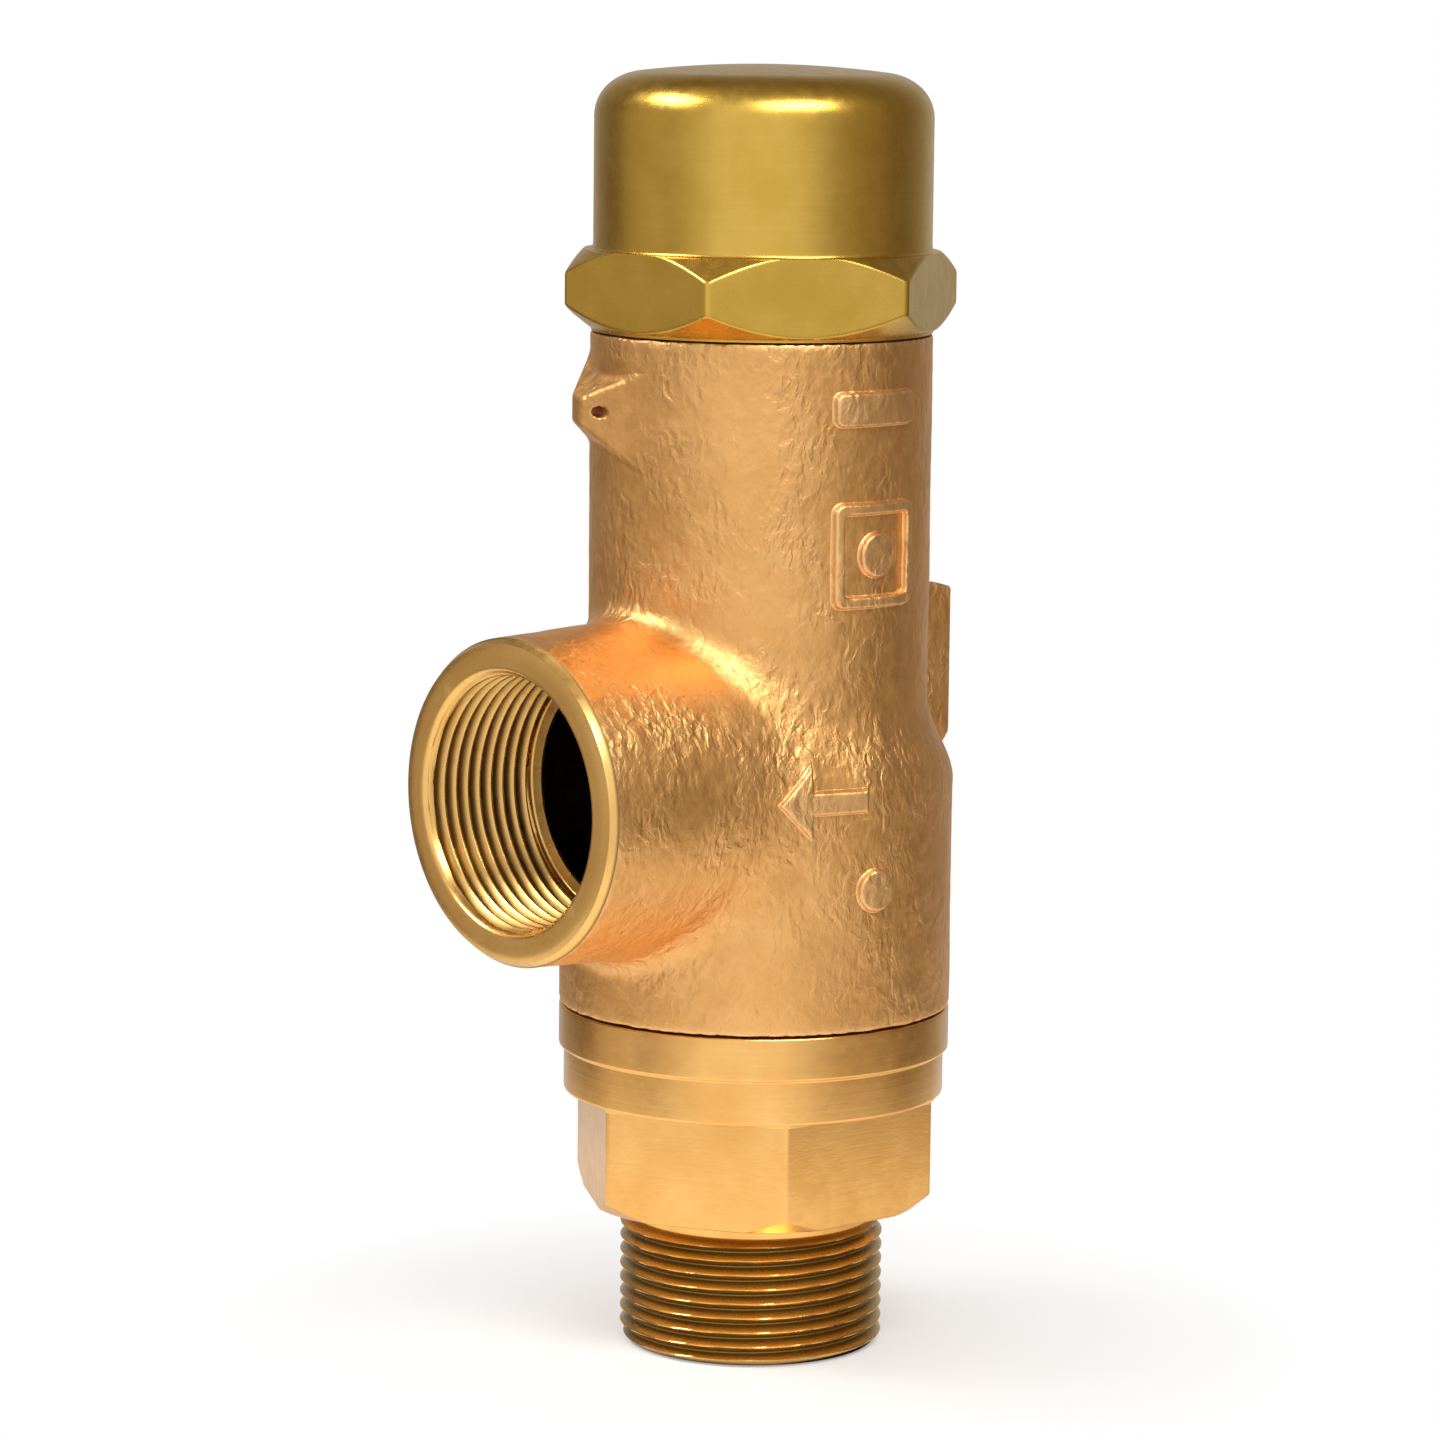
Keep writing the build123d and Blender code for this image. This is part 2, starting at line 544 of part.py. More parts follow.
def seat_disc():
    """The soft seat, which closes on the nozzle's lip."""
    return ring(SEAT_DISC_R, DISC_SCREW_R + FREE_CLEARANCE, Z_DISC_LOW, Z_DISC_WEB)


def disc_washer():
    """The washer that clamps the soft seat."""
    low = Z_DISC_LOW - DISC_WASHER_THICKNESS
    return ring(DISC_WASHER_R, DISC_SCREW_R + FREE_CLEARANCE, low, Z_DISC_LOW)


def disc_screw():
    """The hexagon screw that holds the washer and soft seat in their holder."""
    head_top = Z_DISC_LOW - DISC_WASHER_THICKNESS
    head = hexagon(DISC_SCREW_HEAD_FLATS, head_top - DISC_SCREW_HEAD_HEIGHT, head_top)
    return head + rod(DISC_SCREW_R, head_top - OVERRUN, Z_DISC_WEB + DISC_SCREW_DEPTH - FREE_CLEARANCE)


def pivot_ball():
    """The ball that lets the disc seat squarely under the spindle."""
    return Pos(0, 0, Z_BALL) * Sphere(BALL_R)


def spindle():
    """The spindle, from the ball to inside the adjusting screw, with a shoulder for the lower plate."""
    tip = Z_SCREW_HEX - LIFT - ADJUST
    solid = turned(
        (0, Z_SPINDLE_LOW),
        (SPINDLE_R, Z_SPINDLE_LOW),
        (SPINDLE_R, Z_LOWER_PLATE),
        (SPINDLE_UPPER_R, Z_LOWER_PLATE),
        (SPINDLE_UPPER_R, tip - SPINDLE_TIP),
        (SPINDLE_UPPER_R - SPINDLE_TIP, tip),
        (0, tip),
    )
    dimple = Pos(0, 0, Z_BALL) * Sphere(BALL_R + SEATED_CLEARANCE)
    pin_hole = Pos(0, 0, Z_PIN) * Rot(0, 90, 0) * Cylinder(PIN_R + FREE_CLEARANCE, 2 * (SPINDLE_R + OVERRUN))
    return solid - dimple - pin_hole


def spindle_pin():
    """The cross pin that keeps the disc holder on the spindle."""
    return Pos(0, 0, Z_PIN) * Rot(0, 90, 0) * Cylinder(PIN_R, 2 * (DISC_HUB_R - FREE_CLEARANCE))


def lower_spring_plate():
    """The plate on the spindle's shoulder that the spring presses down."""
    pilot_top = Z_SPRING_LOW + SPRING_PILOT_HEIGHT
    plate = rod(SPRING_OUTER_R, Z_LOWER_PLATE, Z_SPRING_LOW)
    pilot = rod(SPRING_INNER_R - FREE_CLEARANCE, Z_LOWER_PLATE, pilot_top)
    bush_room = rod(BUSH_FLANGE_R + FREE_CLEARANCE, Z_LOWER_PLATE - OVERRUN, Z_LOWER_PLATE)
    stem_bore = rod(SPINDLE_UPPER_R + SEATED_CLEARANCE, Z_LOWER_PLATE - OVERRUN, pilot_top + OVERRUN)
    return plate + pilot - bush_room - stem_bore


def upper_spring_plate():
    """The plate that carries the adjusting screw's thrust to the spring."""
    pilot_low = Z_UPPER_PLATE - SPRING_PILOT_HEIGHT
    plate = rod(min(SPRING_OUTER_R, SCREW_BORE_R - FREE_CLEARANCE), Z_UPPER_PLATE, Z_THRUST_WASHER)
    pilot = rod(SPRING_INNER_R - FREE_CLEARANCE, pilot_low, Z_THRUST_WASHER)
    return plate + pilot - rod(STEM_PASSAGE_R, pilot_low - OVERRUN, Z_THRUST_WASHER + OVERRUN)


def thrust_washer():
    """The bearing washer on which the adjusting screw turns."""
    high = Z_THRUST_WASHER + THRUST_WASHER_THICKNESS
    return ring(THRUST_WASHER_R, STEM_PASSAGE_R, Z_THRUST_WASHER, high)


def adjusting_screw():
    """The hollow screw that sets the spring's load, with a hexagon at its top."""
    land = rod(SCREW_LAND_R, Z_SCREW, Z_SCREW_HEX)
    land = chamfer(land.edges().filter_by(GeomType.CIRCLE), LOCK_RING_CHAMFER)
    corner_r = SCREW_HEX_FLATS / sqrt(3)
    head = hexagon(SCREW_HEX_FLATS, Z_SCREW_HEX - OVERRUN, Z_SCREW_TOP)
    envelope = turned(
        (0, Z_SCREW_HEX - OVERRUN),
        (corner_r, Z_SCREW_HEX - OVERRUN),
        (corner_r, Z_SCREW_TOP - LOCK_RING_CHAMFER),
        (SCREW_HEX_FLATS / 2, Z_SCREW_TOP),
        (0, Z_SCREW_TOP),
    )
    blind_bore = rod(STEM_PASSAGE_R, Z_SCREW - OVERRUN, Z_SCREW_HEX + SCREW_HEX_HEIGHT / 2)
    return land + (head & envelope) - blind_bore


def lock_washer():
    """The washer between the body's neck and the lock ring."""
    high = Z_LOCK_WASHER + LOCK_WASHER_THICKNESS
    return ring(NECK_R - LOCK_RING_SETBACK, SCREW_BORE_R, Z_LOCK_WASHER, high)


def lock_ring():
    """The slotted round nut that locks the adjusting screw."""
    outer_r = NECK_R - LOCK_RING_SETBACK
    high = Z_LOCK_RING + LOCK_RING_HEIGHT
    nut = rod(outer_r, Z_LOCK_RING, high)
    nut = chamfer(nut.edges().filter_by(GeomType.CIRCLE), LOCK_RING_CHAMFER)
    nut = nut - rod(SCREW_BORE_R, Z_LOCK_RING - OVERRUN, high + OVERRUN)
    for turn in range(0, 360, 90):
        slot = Box(2 * LOCK_RING_SLOT_DEPTH, LOCK_RING_SLOT_WIDTH, 2 * (LOCK_RING_HEIGHT + OVERRUN))
        nut = nut - Rot(0, 0, turn) * Pos(outer_r, 0, high) * slot
    return nut


def cap_gasket():
    """The flat gasket in the cap's rim."""
    low = Z_SHOULDER + SEATED_CLEARANCE
    return ring(CAP_BORE_R + CAP_GASKET_WIDTH, CAP_BORE_R, low, low + CAP_GASKET_THICKNESS)


def cap_outside():
    """The cap's dome and skirt as one turned solid, with a rounded shoulder and a low crown."""
    shoulder = Z_CAP_TOP - CAP_CROWN
    skirt_r = CAP_DOME_R + CAP_SETBACK
    skirt_top = Z_CAP + CAP_HEX_TOP / 2
    start = Polyline((0, 0, Z_CAP), (skirt_r, 0, Z_CAP), (skirt_r, 0, skirt_top), (CAP_DOME_R, 0, skirt_top))
    side = Line(start @ 1, (CAP_DOME_R, 0, shoulder - CAP_ROUNDING_R))
    crown_r = CAP_DOME_R - CAP_ROUNDING_R
    crown_slope = (-crown_r, 0, 2 * CAP_CROWN)
    rounding = Spline(side @ 1, (crown_r, 0, shoulder), tangents=[(0, 0, 1), crown_slope])
    crown = Spline(rounding @ 1, (0, 0, Z_CAP_TOP), tangents=[crown_slope, (-1, 0, 0)])
    axis = Line(crown @ 1, (0, 0, Z_CAP))
    return revolve(make_face(start + side + rounding + crown + axis), axis=Axis.Z)


def cap():
    """The screwed cap: chamfered hexagon below, plain dome above, thread and gasket rim inside."""
    corner_r = CAP_HEX_FLATS / sqrt(3)
    hex_low = Z_CAP + CAP_SKIRT_HEIGHT / 2
    hex_high = Z_CAP + CAP_HEX_TOP
    wrench = hexagon(CAP_HEX_FLATS, hex_low, hex_high, CAP_HEX_CORNER_DEG)
    envelope = turned(
        (0, hex_low),
        (CAP_HEX_LOWER_CHAMFER_R, hex_low),
        (corner_r, hex_low + CAP_HEX_CHAMFER_DROP),
        (corner_r, hex_high - CAP_HEX_CHAMFER_DROP),
        (CAP_HEX_UPPER_CHAMFER_R, hex_high),
        (0, hex_high),
    )
    gasket_top = Z_SHOULDER + 2 * SEATED_CLEARANCE + CAP_GASKET_THICKNESS
    inner_r = CAP_DOME_R - CAP_WALL
    ceiling = Z_CAP_TOP - CAP_TOP_WALL
    hollow = turned(
        (0, Z_CAP - OVERRUN),
        (CAP_BORE_R + CAP_GASKET_WIDTH + SEATED_CLEARANCE, Z_CAP - OVERRUN),
        (CAP_BORE_R + CAP_GASKET_WIDTH + SEATED_CLEARANCE, gasket_top),
        (CAP_BORE_R, gasket_top),
        (CAP_BORE_R, Z_NECK_TOP + CAP_THREAD_RUNOUT),
        (inner_r, Z_NECK_TOP + CAP_THREAD_RUNOUT),
        (inner_r, ceiling - CAP_ROUNDING_R / 2),
        (inner_r - CAP_ROUNDING_R / 2, ceiling),
        (0, ceiling),
    )
    return cap_outside() + (wrench & envelope) - hollow


PARTS = {
    "valve_body": valve_body,
    "inlet_nozzle": inlet_nozzle,
    "nozzle_gasket": nozzle_gasket,
    "guide_plate": guide_plate,
    "guide_bush": guide_bush,
    "guide_o_ring": guide_o_ring,
    "guide_retaining_ring": guide_retaining_ring,
    "spring": spring,
    "disc_holder": disc_holder,
    "seat_disc": seat_disc,
    "disc_washer": disc_washer,
    "disc_screw": disc_screw,
    "pivot_ball": pivot_ball,
    "spindle": spindle,
    "spindle_pin": spindle_pin,
    "lower_spring_plate": lower_spring_plate,
    "upper_spring_plate": upper_spring_plate,
    "thrust_washer": thrust_washer,
    "adjusting_screw": adjusting_screw,
    "lock_washer": lock_washer,
    "lock_ring": lock_ring,
    "cap_gasket": cap_gasket,
    "cap": cap,
}

os.makedirs("parts", exist_ok=True)
for node, make in PARTS.items():
    export_step(make(), f"parts/{node}.step")
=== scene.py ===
import json
import math

import bpy
import numpy as np
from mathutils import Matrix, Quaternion, Vector


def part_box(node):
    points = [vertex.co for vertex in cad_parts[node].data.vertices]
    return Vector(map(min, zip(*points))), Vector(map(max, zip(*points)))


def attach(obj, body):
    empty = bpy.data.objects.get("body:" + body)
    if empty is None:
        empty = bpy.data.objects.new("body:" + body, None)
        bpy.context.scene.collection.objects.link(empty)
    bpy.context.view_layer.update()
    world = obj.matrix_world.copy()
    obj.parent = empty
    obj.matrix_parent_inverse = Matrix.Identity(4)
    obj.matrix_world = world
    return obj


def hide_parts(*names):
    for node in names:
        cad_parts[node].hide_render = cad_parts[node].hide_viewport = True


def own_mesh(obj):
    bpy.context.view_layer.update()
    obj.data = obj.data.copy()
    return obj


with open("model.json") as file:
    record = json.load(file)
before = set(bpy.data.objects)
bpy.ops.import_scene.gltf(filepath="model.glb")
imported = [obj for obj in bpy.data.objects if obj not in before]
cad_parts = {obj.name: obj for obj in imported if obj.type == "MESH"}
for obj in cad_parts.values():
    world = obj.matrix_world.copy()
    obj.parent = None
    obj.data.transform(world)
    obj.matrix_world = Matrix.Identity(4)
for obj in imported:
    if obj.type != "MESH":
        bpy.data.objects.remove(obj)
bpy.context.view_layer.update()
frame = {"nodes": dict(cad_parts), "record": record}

# Lengths are in millimetres, in the frame's axes, until a mesh is made.
MM = 0.001


def box_mm(node):
    """A CAD node's lowest and highest corner, in millimetres."""
    low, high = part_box(node)
    return low / MM, high / MM


nozzle_high = box_mm("inlet_nozzle")[1]
body_low, body_high = box_mm("valve_body")
cap_low, cap_high = box_mm("cap")
screw_low, screw_high = box_mm("adjusting_screw")
spring_low, spring_high = box_mm("spring")

# Pipe threads, G 1 1/4
PIPE_MAJOR_R = 20.955
PIPE_MINOR_R = 19.476
PIPE_PITCH = 2.309

# Casting
BODY_Z = body_low.z
LOWER_R = 31.0
UPPER_R = 26.8
FLARE_Z = BODY_Z + 36.0
FLARE_LENGTH = 13.0
NECK_TOP_Z = body_high.z
SHOULDER_Z = NECK_TOP_Z - 12.0
NECK_R = 23.9
SCREW_BORE_R = 18.2
OUTLET_Z = BODY_Z + 36.2
OUTLET_Y = body_low.y
BOSS_R = 25.2
MOUTH_R = 20.6
BOSS_SLOPE = math.tan(math.radians(2.6))
RIM_DEPTH = 1.5
ROOT_FILLET = 3.5
SLEEVE_R = 22.1
PASSAGE_R = 17.4
LUG_DEG = -110.0
LUG_Z = SHOULDER_Z - 11.5
SKIN_STEP = 0.78  # grid of the casting's surface
DETAIL_STEP = 0.27  # grid of the marks' and the lug's
SKIN_OVERLAP = 0.06  # a mark's or the lug's foot starts this far inside the skin
NOZZLE_BORE_R = 26.0
CHAMBER_R = 25.0
GUIDE_BORE_R = 22.6
RING_GROOVE_R = 23.75
SPRING_CHAMBER_R = 20.5
NECK_HOLLOW_R = 19.8
# The casting's hollows round its axis: radius, lowest and highest height
HOLLOWS = (
    (NOZZLE_BORE_R, BODY_Z - 9, BODY_Z + 11.3),
    (CHAMBER_R, BODY_Z + 11.3, FLARE_Z),
    (GUIDE_BORE_R, FLARE_Z, BODY_Z + 64.5),
    (RING_GROOVE_R, BODY_Z + 56.95, BODY_Z + 58.5),
    (SPRING_CHAMBER_R, BODY_Z + 64.5, SHOULDER_Z - 3),
    (NECK_HOLLOW_R, SHOULDER_Z - 3, SHOULDER_Z + 9),
)

# Raised marks
MARK_R = 29.0
MARK_RISE = 0.95
MARK_EDGE = 0.45
MARK_FILLET = 0.6

# Wire lug
LUG_LENGTH = 7.9  # from its foot in the skin to its flat end
LUG_SUNK = 3.8
LUG_REACH = 4.1
LUG_HOLE_R = 0.9
LUG_SIDE_SLOPE = 0.576  # turns the tapered sides' measure into a distance
LUG_TOP_SLOPE = 0.767

# Neck, cap and adjusting screw
CAP_PITCH = 2.0
SCREW_PITCH = 1.5
NECK_ROOT_R = 22.67
NECK_RUNOUT_R = 22.5
SCREW_GROOVE_R = 19.0

# Nozzle
NOZZLE_FLATS = 52.0
NOZZLE_UNDERCUT_R = 19.2
NOZZLE_WAIST_R = 30.2
NOZZLE_GASKET_R = 29.45
NOZZLE_SPIGOT_R = 25.9
SEAT_STEP_R = 17.5
SEAT_R = 14.5
ORIFICE_R = 12.5

# Cap
CAP_FLATS = 55.0
CAP_BORE_R = 24.0
CAP_GROOVE_R = 25.0
CAP_INSIDE_R = 22.9
CAP_RECESS_R = 25.6
CAP_RIM_R = 26.8

# Adjusting screw
SCREW_FLATS = 22.0
SCREW_ROOT_R = 17.25
SCREW_CREST_R = 18.1
SCREW_HOLLOW_R = 5.3

# Spring
WIRE_R = 2.0
COIL_R = 15.0
END_SHARE = 0.55  # of the wire, left at each ground end


# ---------------------------------------------------------------- meshes

def piece_from(name, points, quads, triangles=(), sharp_deg=38.0):
    """A mesh object from points in millimetres, turned right side out and smooth except at sharp edges."""
    points = np.asarray(points, float).reshape(-1, 3)
    quads = np.asarray(quads, np.int64).reshape(-1, 4)
    triangles = np.asarray(triangles, np.int64).reshape(-1, 3)
    volume = 0.0
    for a, b, c in ((0, 1, 2), (0, 2, 3)):
        p, q, r = points[quads[:, a]], points[quads[:, b]], points[quads[:, c]]
        volume += np.einsum("ij,ij->", p, np.cross(q, r))
    if len(triangles):
        p, q, r = (points[triangles[:, k]] for k in range(3))
        volume += np.einsum("ij,ij->", p, np.cross(q, r))
    if volume < 0:
        quads = quads[:, ::-1]
        triangles = triangles[:, ::-1]
    mesh = bpy.data.meshes.new(name)
    mesh.vertices.add(len(points))
    mesh.vertices.foreach_set("co", (points * MM).ravel())
    loops = np.concatenate([quads.ravel(), triangles.ravel()])
    starts = np.concatenate([np.arange(len(quads)) * 4, len(quads) * 4 + np.arange(len(triangles)) * 3])
    mesh.loops.add(len(loops))
    mesh.loops.foreach_set("vertex_index", loops)
    mesh.polygons.add(len(starts))
    mesh.polygons.foreach_set("loop_start", starts)
    mesh.update(calc_edges=True)
    mesh.validate()
    mesh.shade_smooth()
    mesh.set_sharp_from_angle(angle=math.radians(sharp_deg))
    piece = bpy.data.objects.new(name, mesh)
    bpy.context.scene.collection.objects.link(piece)
    return piece


def spread(value, count):
    return np.broadcast_to(np.asarray(value, float), (count,))


def rounded(corners, count, closed=False, steps=4):
    """Rows of (radius, height) along corners given as (radius, height, setback), each corner rounded."""
    base = np.array([[spread(r, count), spread(z, count)] for r, z, _ in corners])
    total = len(corners)
    rows = []
    for i, (_, _, setback) in enumerate(corners):
        here = base[i]
        if setback == 0 or (not closed and i in (0, total - 1)):
            rows.append(here)
            continue
        before = base[i - 1] - here
        after = base[(i + 1) % total] - here
        cut_b = np.minimum(setback, 0.45 * np.hypot(*before))
        cut_a = np.minimum(setback, 0.45 * np.hypot(*after))
        start = here + before / np.maximum(np.hypot(*before), 1e-9) * cut_b
        end = here + after / np.maximum(np.hypot(*after), 1e-9) * cut_a
        for t in np.linspace(0, 1, steps + 1):
            rows.append((1 - t) ** 2 * start + 2 * t * (1 - t) * here + t * t * end)
    rows = np.array(rows)
    return rows[:, 0], rows[:, 1]


def columns(name, angles, radius, height, closed=True, place=None, **options):
    """A turned mesh: radius and height are rows by angles. Open ones run from the axis to the axis."""
    rows, count = radius.shape
    points = np.stack([radius * np.cos(angles), radius * np.sin(angles), height], -1)
    index = np.arange(rows * count).reshape(rows, count)
    following = np.roll(index, -1, 1)
    if closed:
        upper, upper_following = np.roll(index, -1, 0), np.roll(following, -1, 0)
        lower, lower_following = index, following
    else:
        lower, lower_following = index[:-1], following[:-1]
        upper, upper_following = index[1:], following[1:]
    quads = np.stack([lower, lower_following, upper_following, upper], -1).reshape(-1, 4)
    points = points.reshape(-1, 3)
    triangles = []
    if not closed:
        poles = [[0, 0, height[0].mean()], [0, 0, height[-1].mean()]]
        first, last = len(points), len(points) + 1
        points = np.vstack([points, poles])
        triangles = np.vstack([
            np.stack([following[0], index[0], np.full(count, first)], -1),
            np.stack([index[-1], following[-1], np.full(count, last)], -1),
        ])
    if place is not None:
        points = place(points)
    piece = piece_from(name, points, quads, triangles, **options)
    weighted = piece.modifiers.new("weighted", "WEIGHTED_NORMAL")
    weighted.keep_sharp = True
    return piece


def sector_angles(offsets_deg, corner_deg):
    """Angles round six sectors, gathered at each corner as the offsets say."""
    offsets = sorted(set(offsets_deg) | {60 - value for value in offsets_deg if value > 0})
    turns = [corner_deg + 60 * side + value for side in range(6) for value in offsets if value < 60]
    return np.radians(np.array(turns))


def hex_radius(angles, corner_deg, flats, edge_r):
    """Radius of a hexagon with rounded corners, at each angle."""
    turn = np.degrees(angles) - corner_deg
    from_corner = np.radians((turn + 30) % 60 - 30)
    flat = flats / 2 / np.cos(np.radians(30) - np.abs(from_corner))
    centre = (flats / 2 - edge_r) / math.cos(math.radians(30))
    across = centre * np.sin(from_corner)
    arc = centre * np.cos(from_corner) + np.sqrt(np.maximum(edge_r**2 - across**2, 0))
    return np.where(np.abs(across) < edge_r / 2, np.minimum(flat, arc), flat)


def thread_wave(phase, straight=0.86):
    """The thread form: 1 at a crest, -1 at a root, with straight flanks and small roundings between."""
    tip = 2 - straight
    triangle = tip * (1 - 4 * np.abs(phase % 1 - 0.5))
    size = np.abs(triangle)
    curved = 1 - (tip - size) ** 2 / (4 * (1 - straight))
    return np.where(size < straight, triangle, np.sign(triangle) * curved)


def thread_rows(angles, start, end, root_r, crest_r, pitch, per_turn=20):
    """Rows of a right-hand helical thread from one height to another."""
    count = max(2, int(abs(end - start) / pitch * per_turn) + 1)
    height = np.linspace(start, end, count)[:, None] + np.zeros(len(angles))
    wave = thread_wave(height / pitch - angles / (2 * math.pi))
    return root_r + (crest_r - root_r) * ((wave + 1) / 2) ** 1.2, height


# ---------------------------------------------------------------- surfaces from distance fields

def join(a, b, fillet):
    """Two distance fields as one solid with a fillet between them."""
    corner = np.hypot(np.maximum(fillet - a, 0), np.maximum(fillet - b, 0))
    return np.maximum(fillet, np.minimum(a, b)) - corner


def cut(a, b, rounding):
    """What two distance fields share, with a rounded edge."""
    return -join(-a, -b, rounding)


def contour(field, low, high, step):
    """The closed surface where field is 0, as points and quads, with its edges kept sharp."""
    axes = [np.arange(a - 1.5 * step, b + 2.5 * step, step) for a, b in zip(low, high)]
    values = field(*np.meshgrid(*axes, indexing="ij"))
    inside = values < 0
    cells = np.array(values.shape) - 1
    total = int(np.prod(cells))
    strides = np.array([cells[1] * cells[2], cells[2], 1])
    where, normals, spots, faces = [], [], [], []
    for axis in range(3):
        first = [slice(None)] * 3
        second = [slice(None)] * 3
        first[axis] = slice(0, -1)
        second[axis] = slice(1, None)
        starts = np.argwhere(inside[tuple(first)] != inside[tuple(second)])
        ends = starts.copy()
        ends[:, axis] += 1
        a = values[tuple(starts.T)]
        b = values[tuple(ends.T)]
        begin = np.stack([axes[k][starts[:, k]] for k in range(3)], -1)
        near, far = np.zeros(len(a)), np.ones(len(a))
        near_value, far_value = a.copy(), b.copy()
        for _ in range(3):
            share = near + (far - near) * near_value / (near_value - far_value)
            point = begin.copy()
            point[:, axis] += share * step
            value = field(*point.T)
            same = (value < 0) == (near_value < 0)
            near, near_value = np.where(same, share, near), np.where(same, value, near_value)
            far, far_value = np.where(same, far, share), np.where(same, far_value, value)
        slope = np.zeros((len(a), 3))
        for k in range(3):
            shift = np.zeros(3)
            shift[k] = step * 0.02
            slope[:, k] = field(*(point + shift).T) - field(*(point - shift).T)
        slope /= np.maximum(np.linalg.norm(slope, axis=1, keepdims=True), 1e-12)
        one, two = (axis + 1) % 3, (axis + 2) % 3
        ring = []
        for da, db in ((0, 0), (1, 0), (1, 1), (0, 1)):
            cell = starts.copy()
            cell[:, one] -= da
            cell[:, two] -= db
            ring.append(cell @ strides)
        ring = np.stack(ring, -1)
        faces.append(np.where((a < 0)[:, None], ring, ring[:, ::-1]))
        where.append(ring.ravel())
        normals.append(np.repeat(slope, 4, 0))
        spots.append(np.repeat(point, 4, 0))
    where, normals, spots = np.concatenate(where), np.concatenate(normals), np.concatenate(spots)
    faces = np.concatenate(faces)
    used, compact = np.unique(where, return_inverse=True)
    count = np.bincount(compact)
    middle = np.stack([np.bincount(compact, spots[:, k]) for k in range(3)], -1) / count[:, None]
    offset = np.einsum("ij,ij->i", normals, spots - middle[compact])
    matrix = np.zeros((len(used), 3, 3))
    target = np.zeros((len(used), 3))
    for i in range(3):
        target[:, i] = np.bincount(compact, normals[:, i] * offset)
        for j in range(3):
            matrix[:, i, j] = np.bincount(compact, normals[:, i] * normals[:, j])
    matrix += 0.05 * np.eye(3)
    moved = np.linalg.solve(matrix, target[:, :, None])[:, :, 0]
    points = middle + np.clip(moved, -0.7 * step, 0.7 * step)
    lookup = np.zeros(total, np.int64)
    lookup[used] = np.arange(len(used))
    return points, lookup[faces]


def waves(x, y, z):
    """The gentle unevenness of a cast skin, in millimetres."""
    return (
        0.045 * np.sin(0.31 * x + 1.3) * np.sin(0.23 * z + 0.4 * y)
        + 0.03 * np.sin(0.62 * y - 0.35 * z + 2.1) * np.sin(0.48 * x + 0.8)
        + 0.018 * np.sin(1.35 * z + 0.9 * x) * np.sin(1.2 * y + 0.5)
    )


def body_side(x, y, z):
    """Distance outside the casting's turned side, before anything joins it."""
    t = np.clip((z - FLARE_Z) / FLARE_LENGTH, 0, 1)
    radius = LOWER_R + (UPPER_R - LOWER_R) * t * t * (3 - 2 * t)
    slope = (UPPER_R - LOWER_R) / FLARE_LENGTH * 6 * t * (1 - t)
    return (np.hypot(x, y) - radius) / np.sqrt(1 + slope**2) + waves(x, y, z)


def rear_pad(x, y, z):
    """Distance outside the flat pad opposite the outlet."""
    low, high = BODY_Z + 41.0, BODY_Z + 65.8
    front = y - body_high.y
    top = (front + 4 * (z - high + 1)) / math.sqrt(17)
    foot = (front - (z - low)) / math.sqrt(2)
    face = cut(cut(front, top, 0.6), foot, 0.8)
    return cut(cut(face, np.abs(x) - 10.5, 1.0), np.maximum(z - high, np.maximum(low - 4 - z, -y)), 0.3)


def cast_skin(x, y, z):
    """Distance outside the turned side and the outlet's boss, with the fillet between them."""
    depth = y - OUTLET_Y
    boss = np.hypot(x, z - OUTLET_Z) - BOSS_R - BOSS_SLOPE * depth + waves(x, y, z)
    boss = np.maximum(np.maximum(boss, y), RIM_DEPTH - depth)
    return join(body_side(x, y, z), boss, ROOT_FILLET)


def casting_field(x, y, z):
    """Distance outside the casting."""
    r = np.hypot(x, y)
    depth = y - OUTLET_Y
    from_outlet = np.hypot(x, z - OUTLET_Z)
    solid = cut(cut(cast_skin(x, y, z), z - SHOULDER_Z, 0.5), BODY_Z - z, 0.5)
    solid = join(solid, rear_pad(x, y, z), 1.2)
    hollow = np.full(np.shape(x), 1e3)
    for radius, low, high in HOLLOWS:
        hollow = np.minimum(hollow, np.maximum(r - radius, np.maximum(low - z, z - high)))
    hollow = np.minimum(hollow, np.maximum(from_outlet - SLEEVE_R, depth - 21.4))
    hollow = np.minimum(hollow, np.maximum(from_outlet - PASSAGE_R, depth - 36))
    return np.maximum(solid, -hollow)


def facing(degrees, height):
    """A function that turns points into (across, up, outward) beside the casting at this place."""
    out = (math.cos(math.radians(degrees)), math.sin(math.radians(degrees)))

    def local(x, y, z):
        return out[0] * y - out[1] * x, z - height, out[0] * x + out[1] * y

    return local, out


def polygon(u, v, corners):
    """Distance outside a flat polygon."""
    nearest = np.full(np.shape(u), 1e9)
    sign = np.ones(np.shape(u))
    for (ax, ay), (bx, by) in zip(corners, corners[1:] + corners[:1]):
        ex, ey = bx - ax, by - ay
        wx, wy = u - ax, v - ay
        t = np.clip((wx * ex + wy * ey) / (ex * ex + ey * ey), 0, 1)
        nearest = np.minimum(nearest, (wx - ex * t) ** 2 + (wy - ey * t) ** 2)
        above, below, left = v >= ay, v < by, ex * wy > ey * wx
        flips = (above & below & left) | (~above & ~below & ~left)
        sign = np.where(flips, -sign, sign)
    return sign * np.sqrt(nearest)


def rounded_box(u, v, width, height, corner):
    """Distance outside a flat rectangle with rounded corners."""
    du, dv = np.abs(u) - width / 2 + corner, np.abs(v) - height / 2 + corner
    return np.hypot(np.maximum(du, 0), np.maximum(dv, 0)) + np.minimum(np.maximum(du, dv), 0) - corner


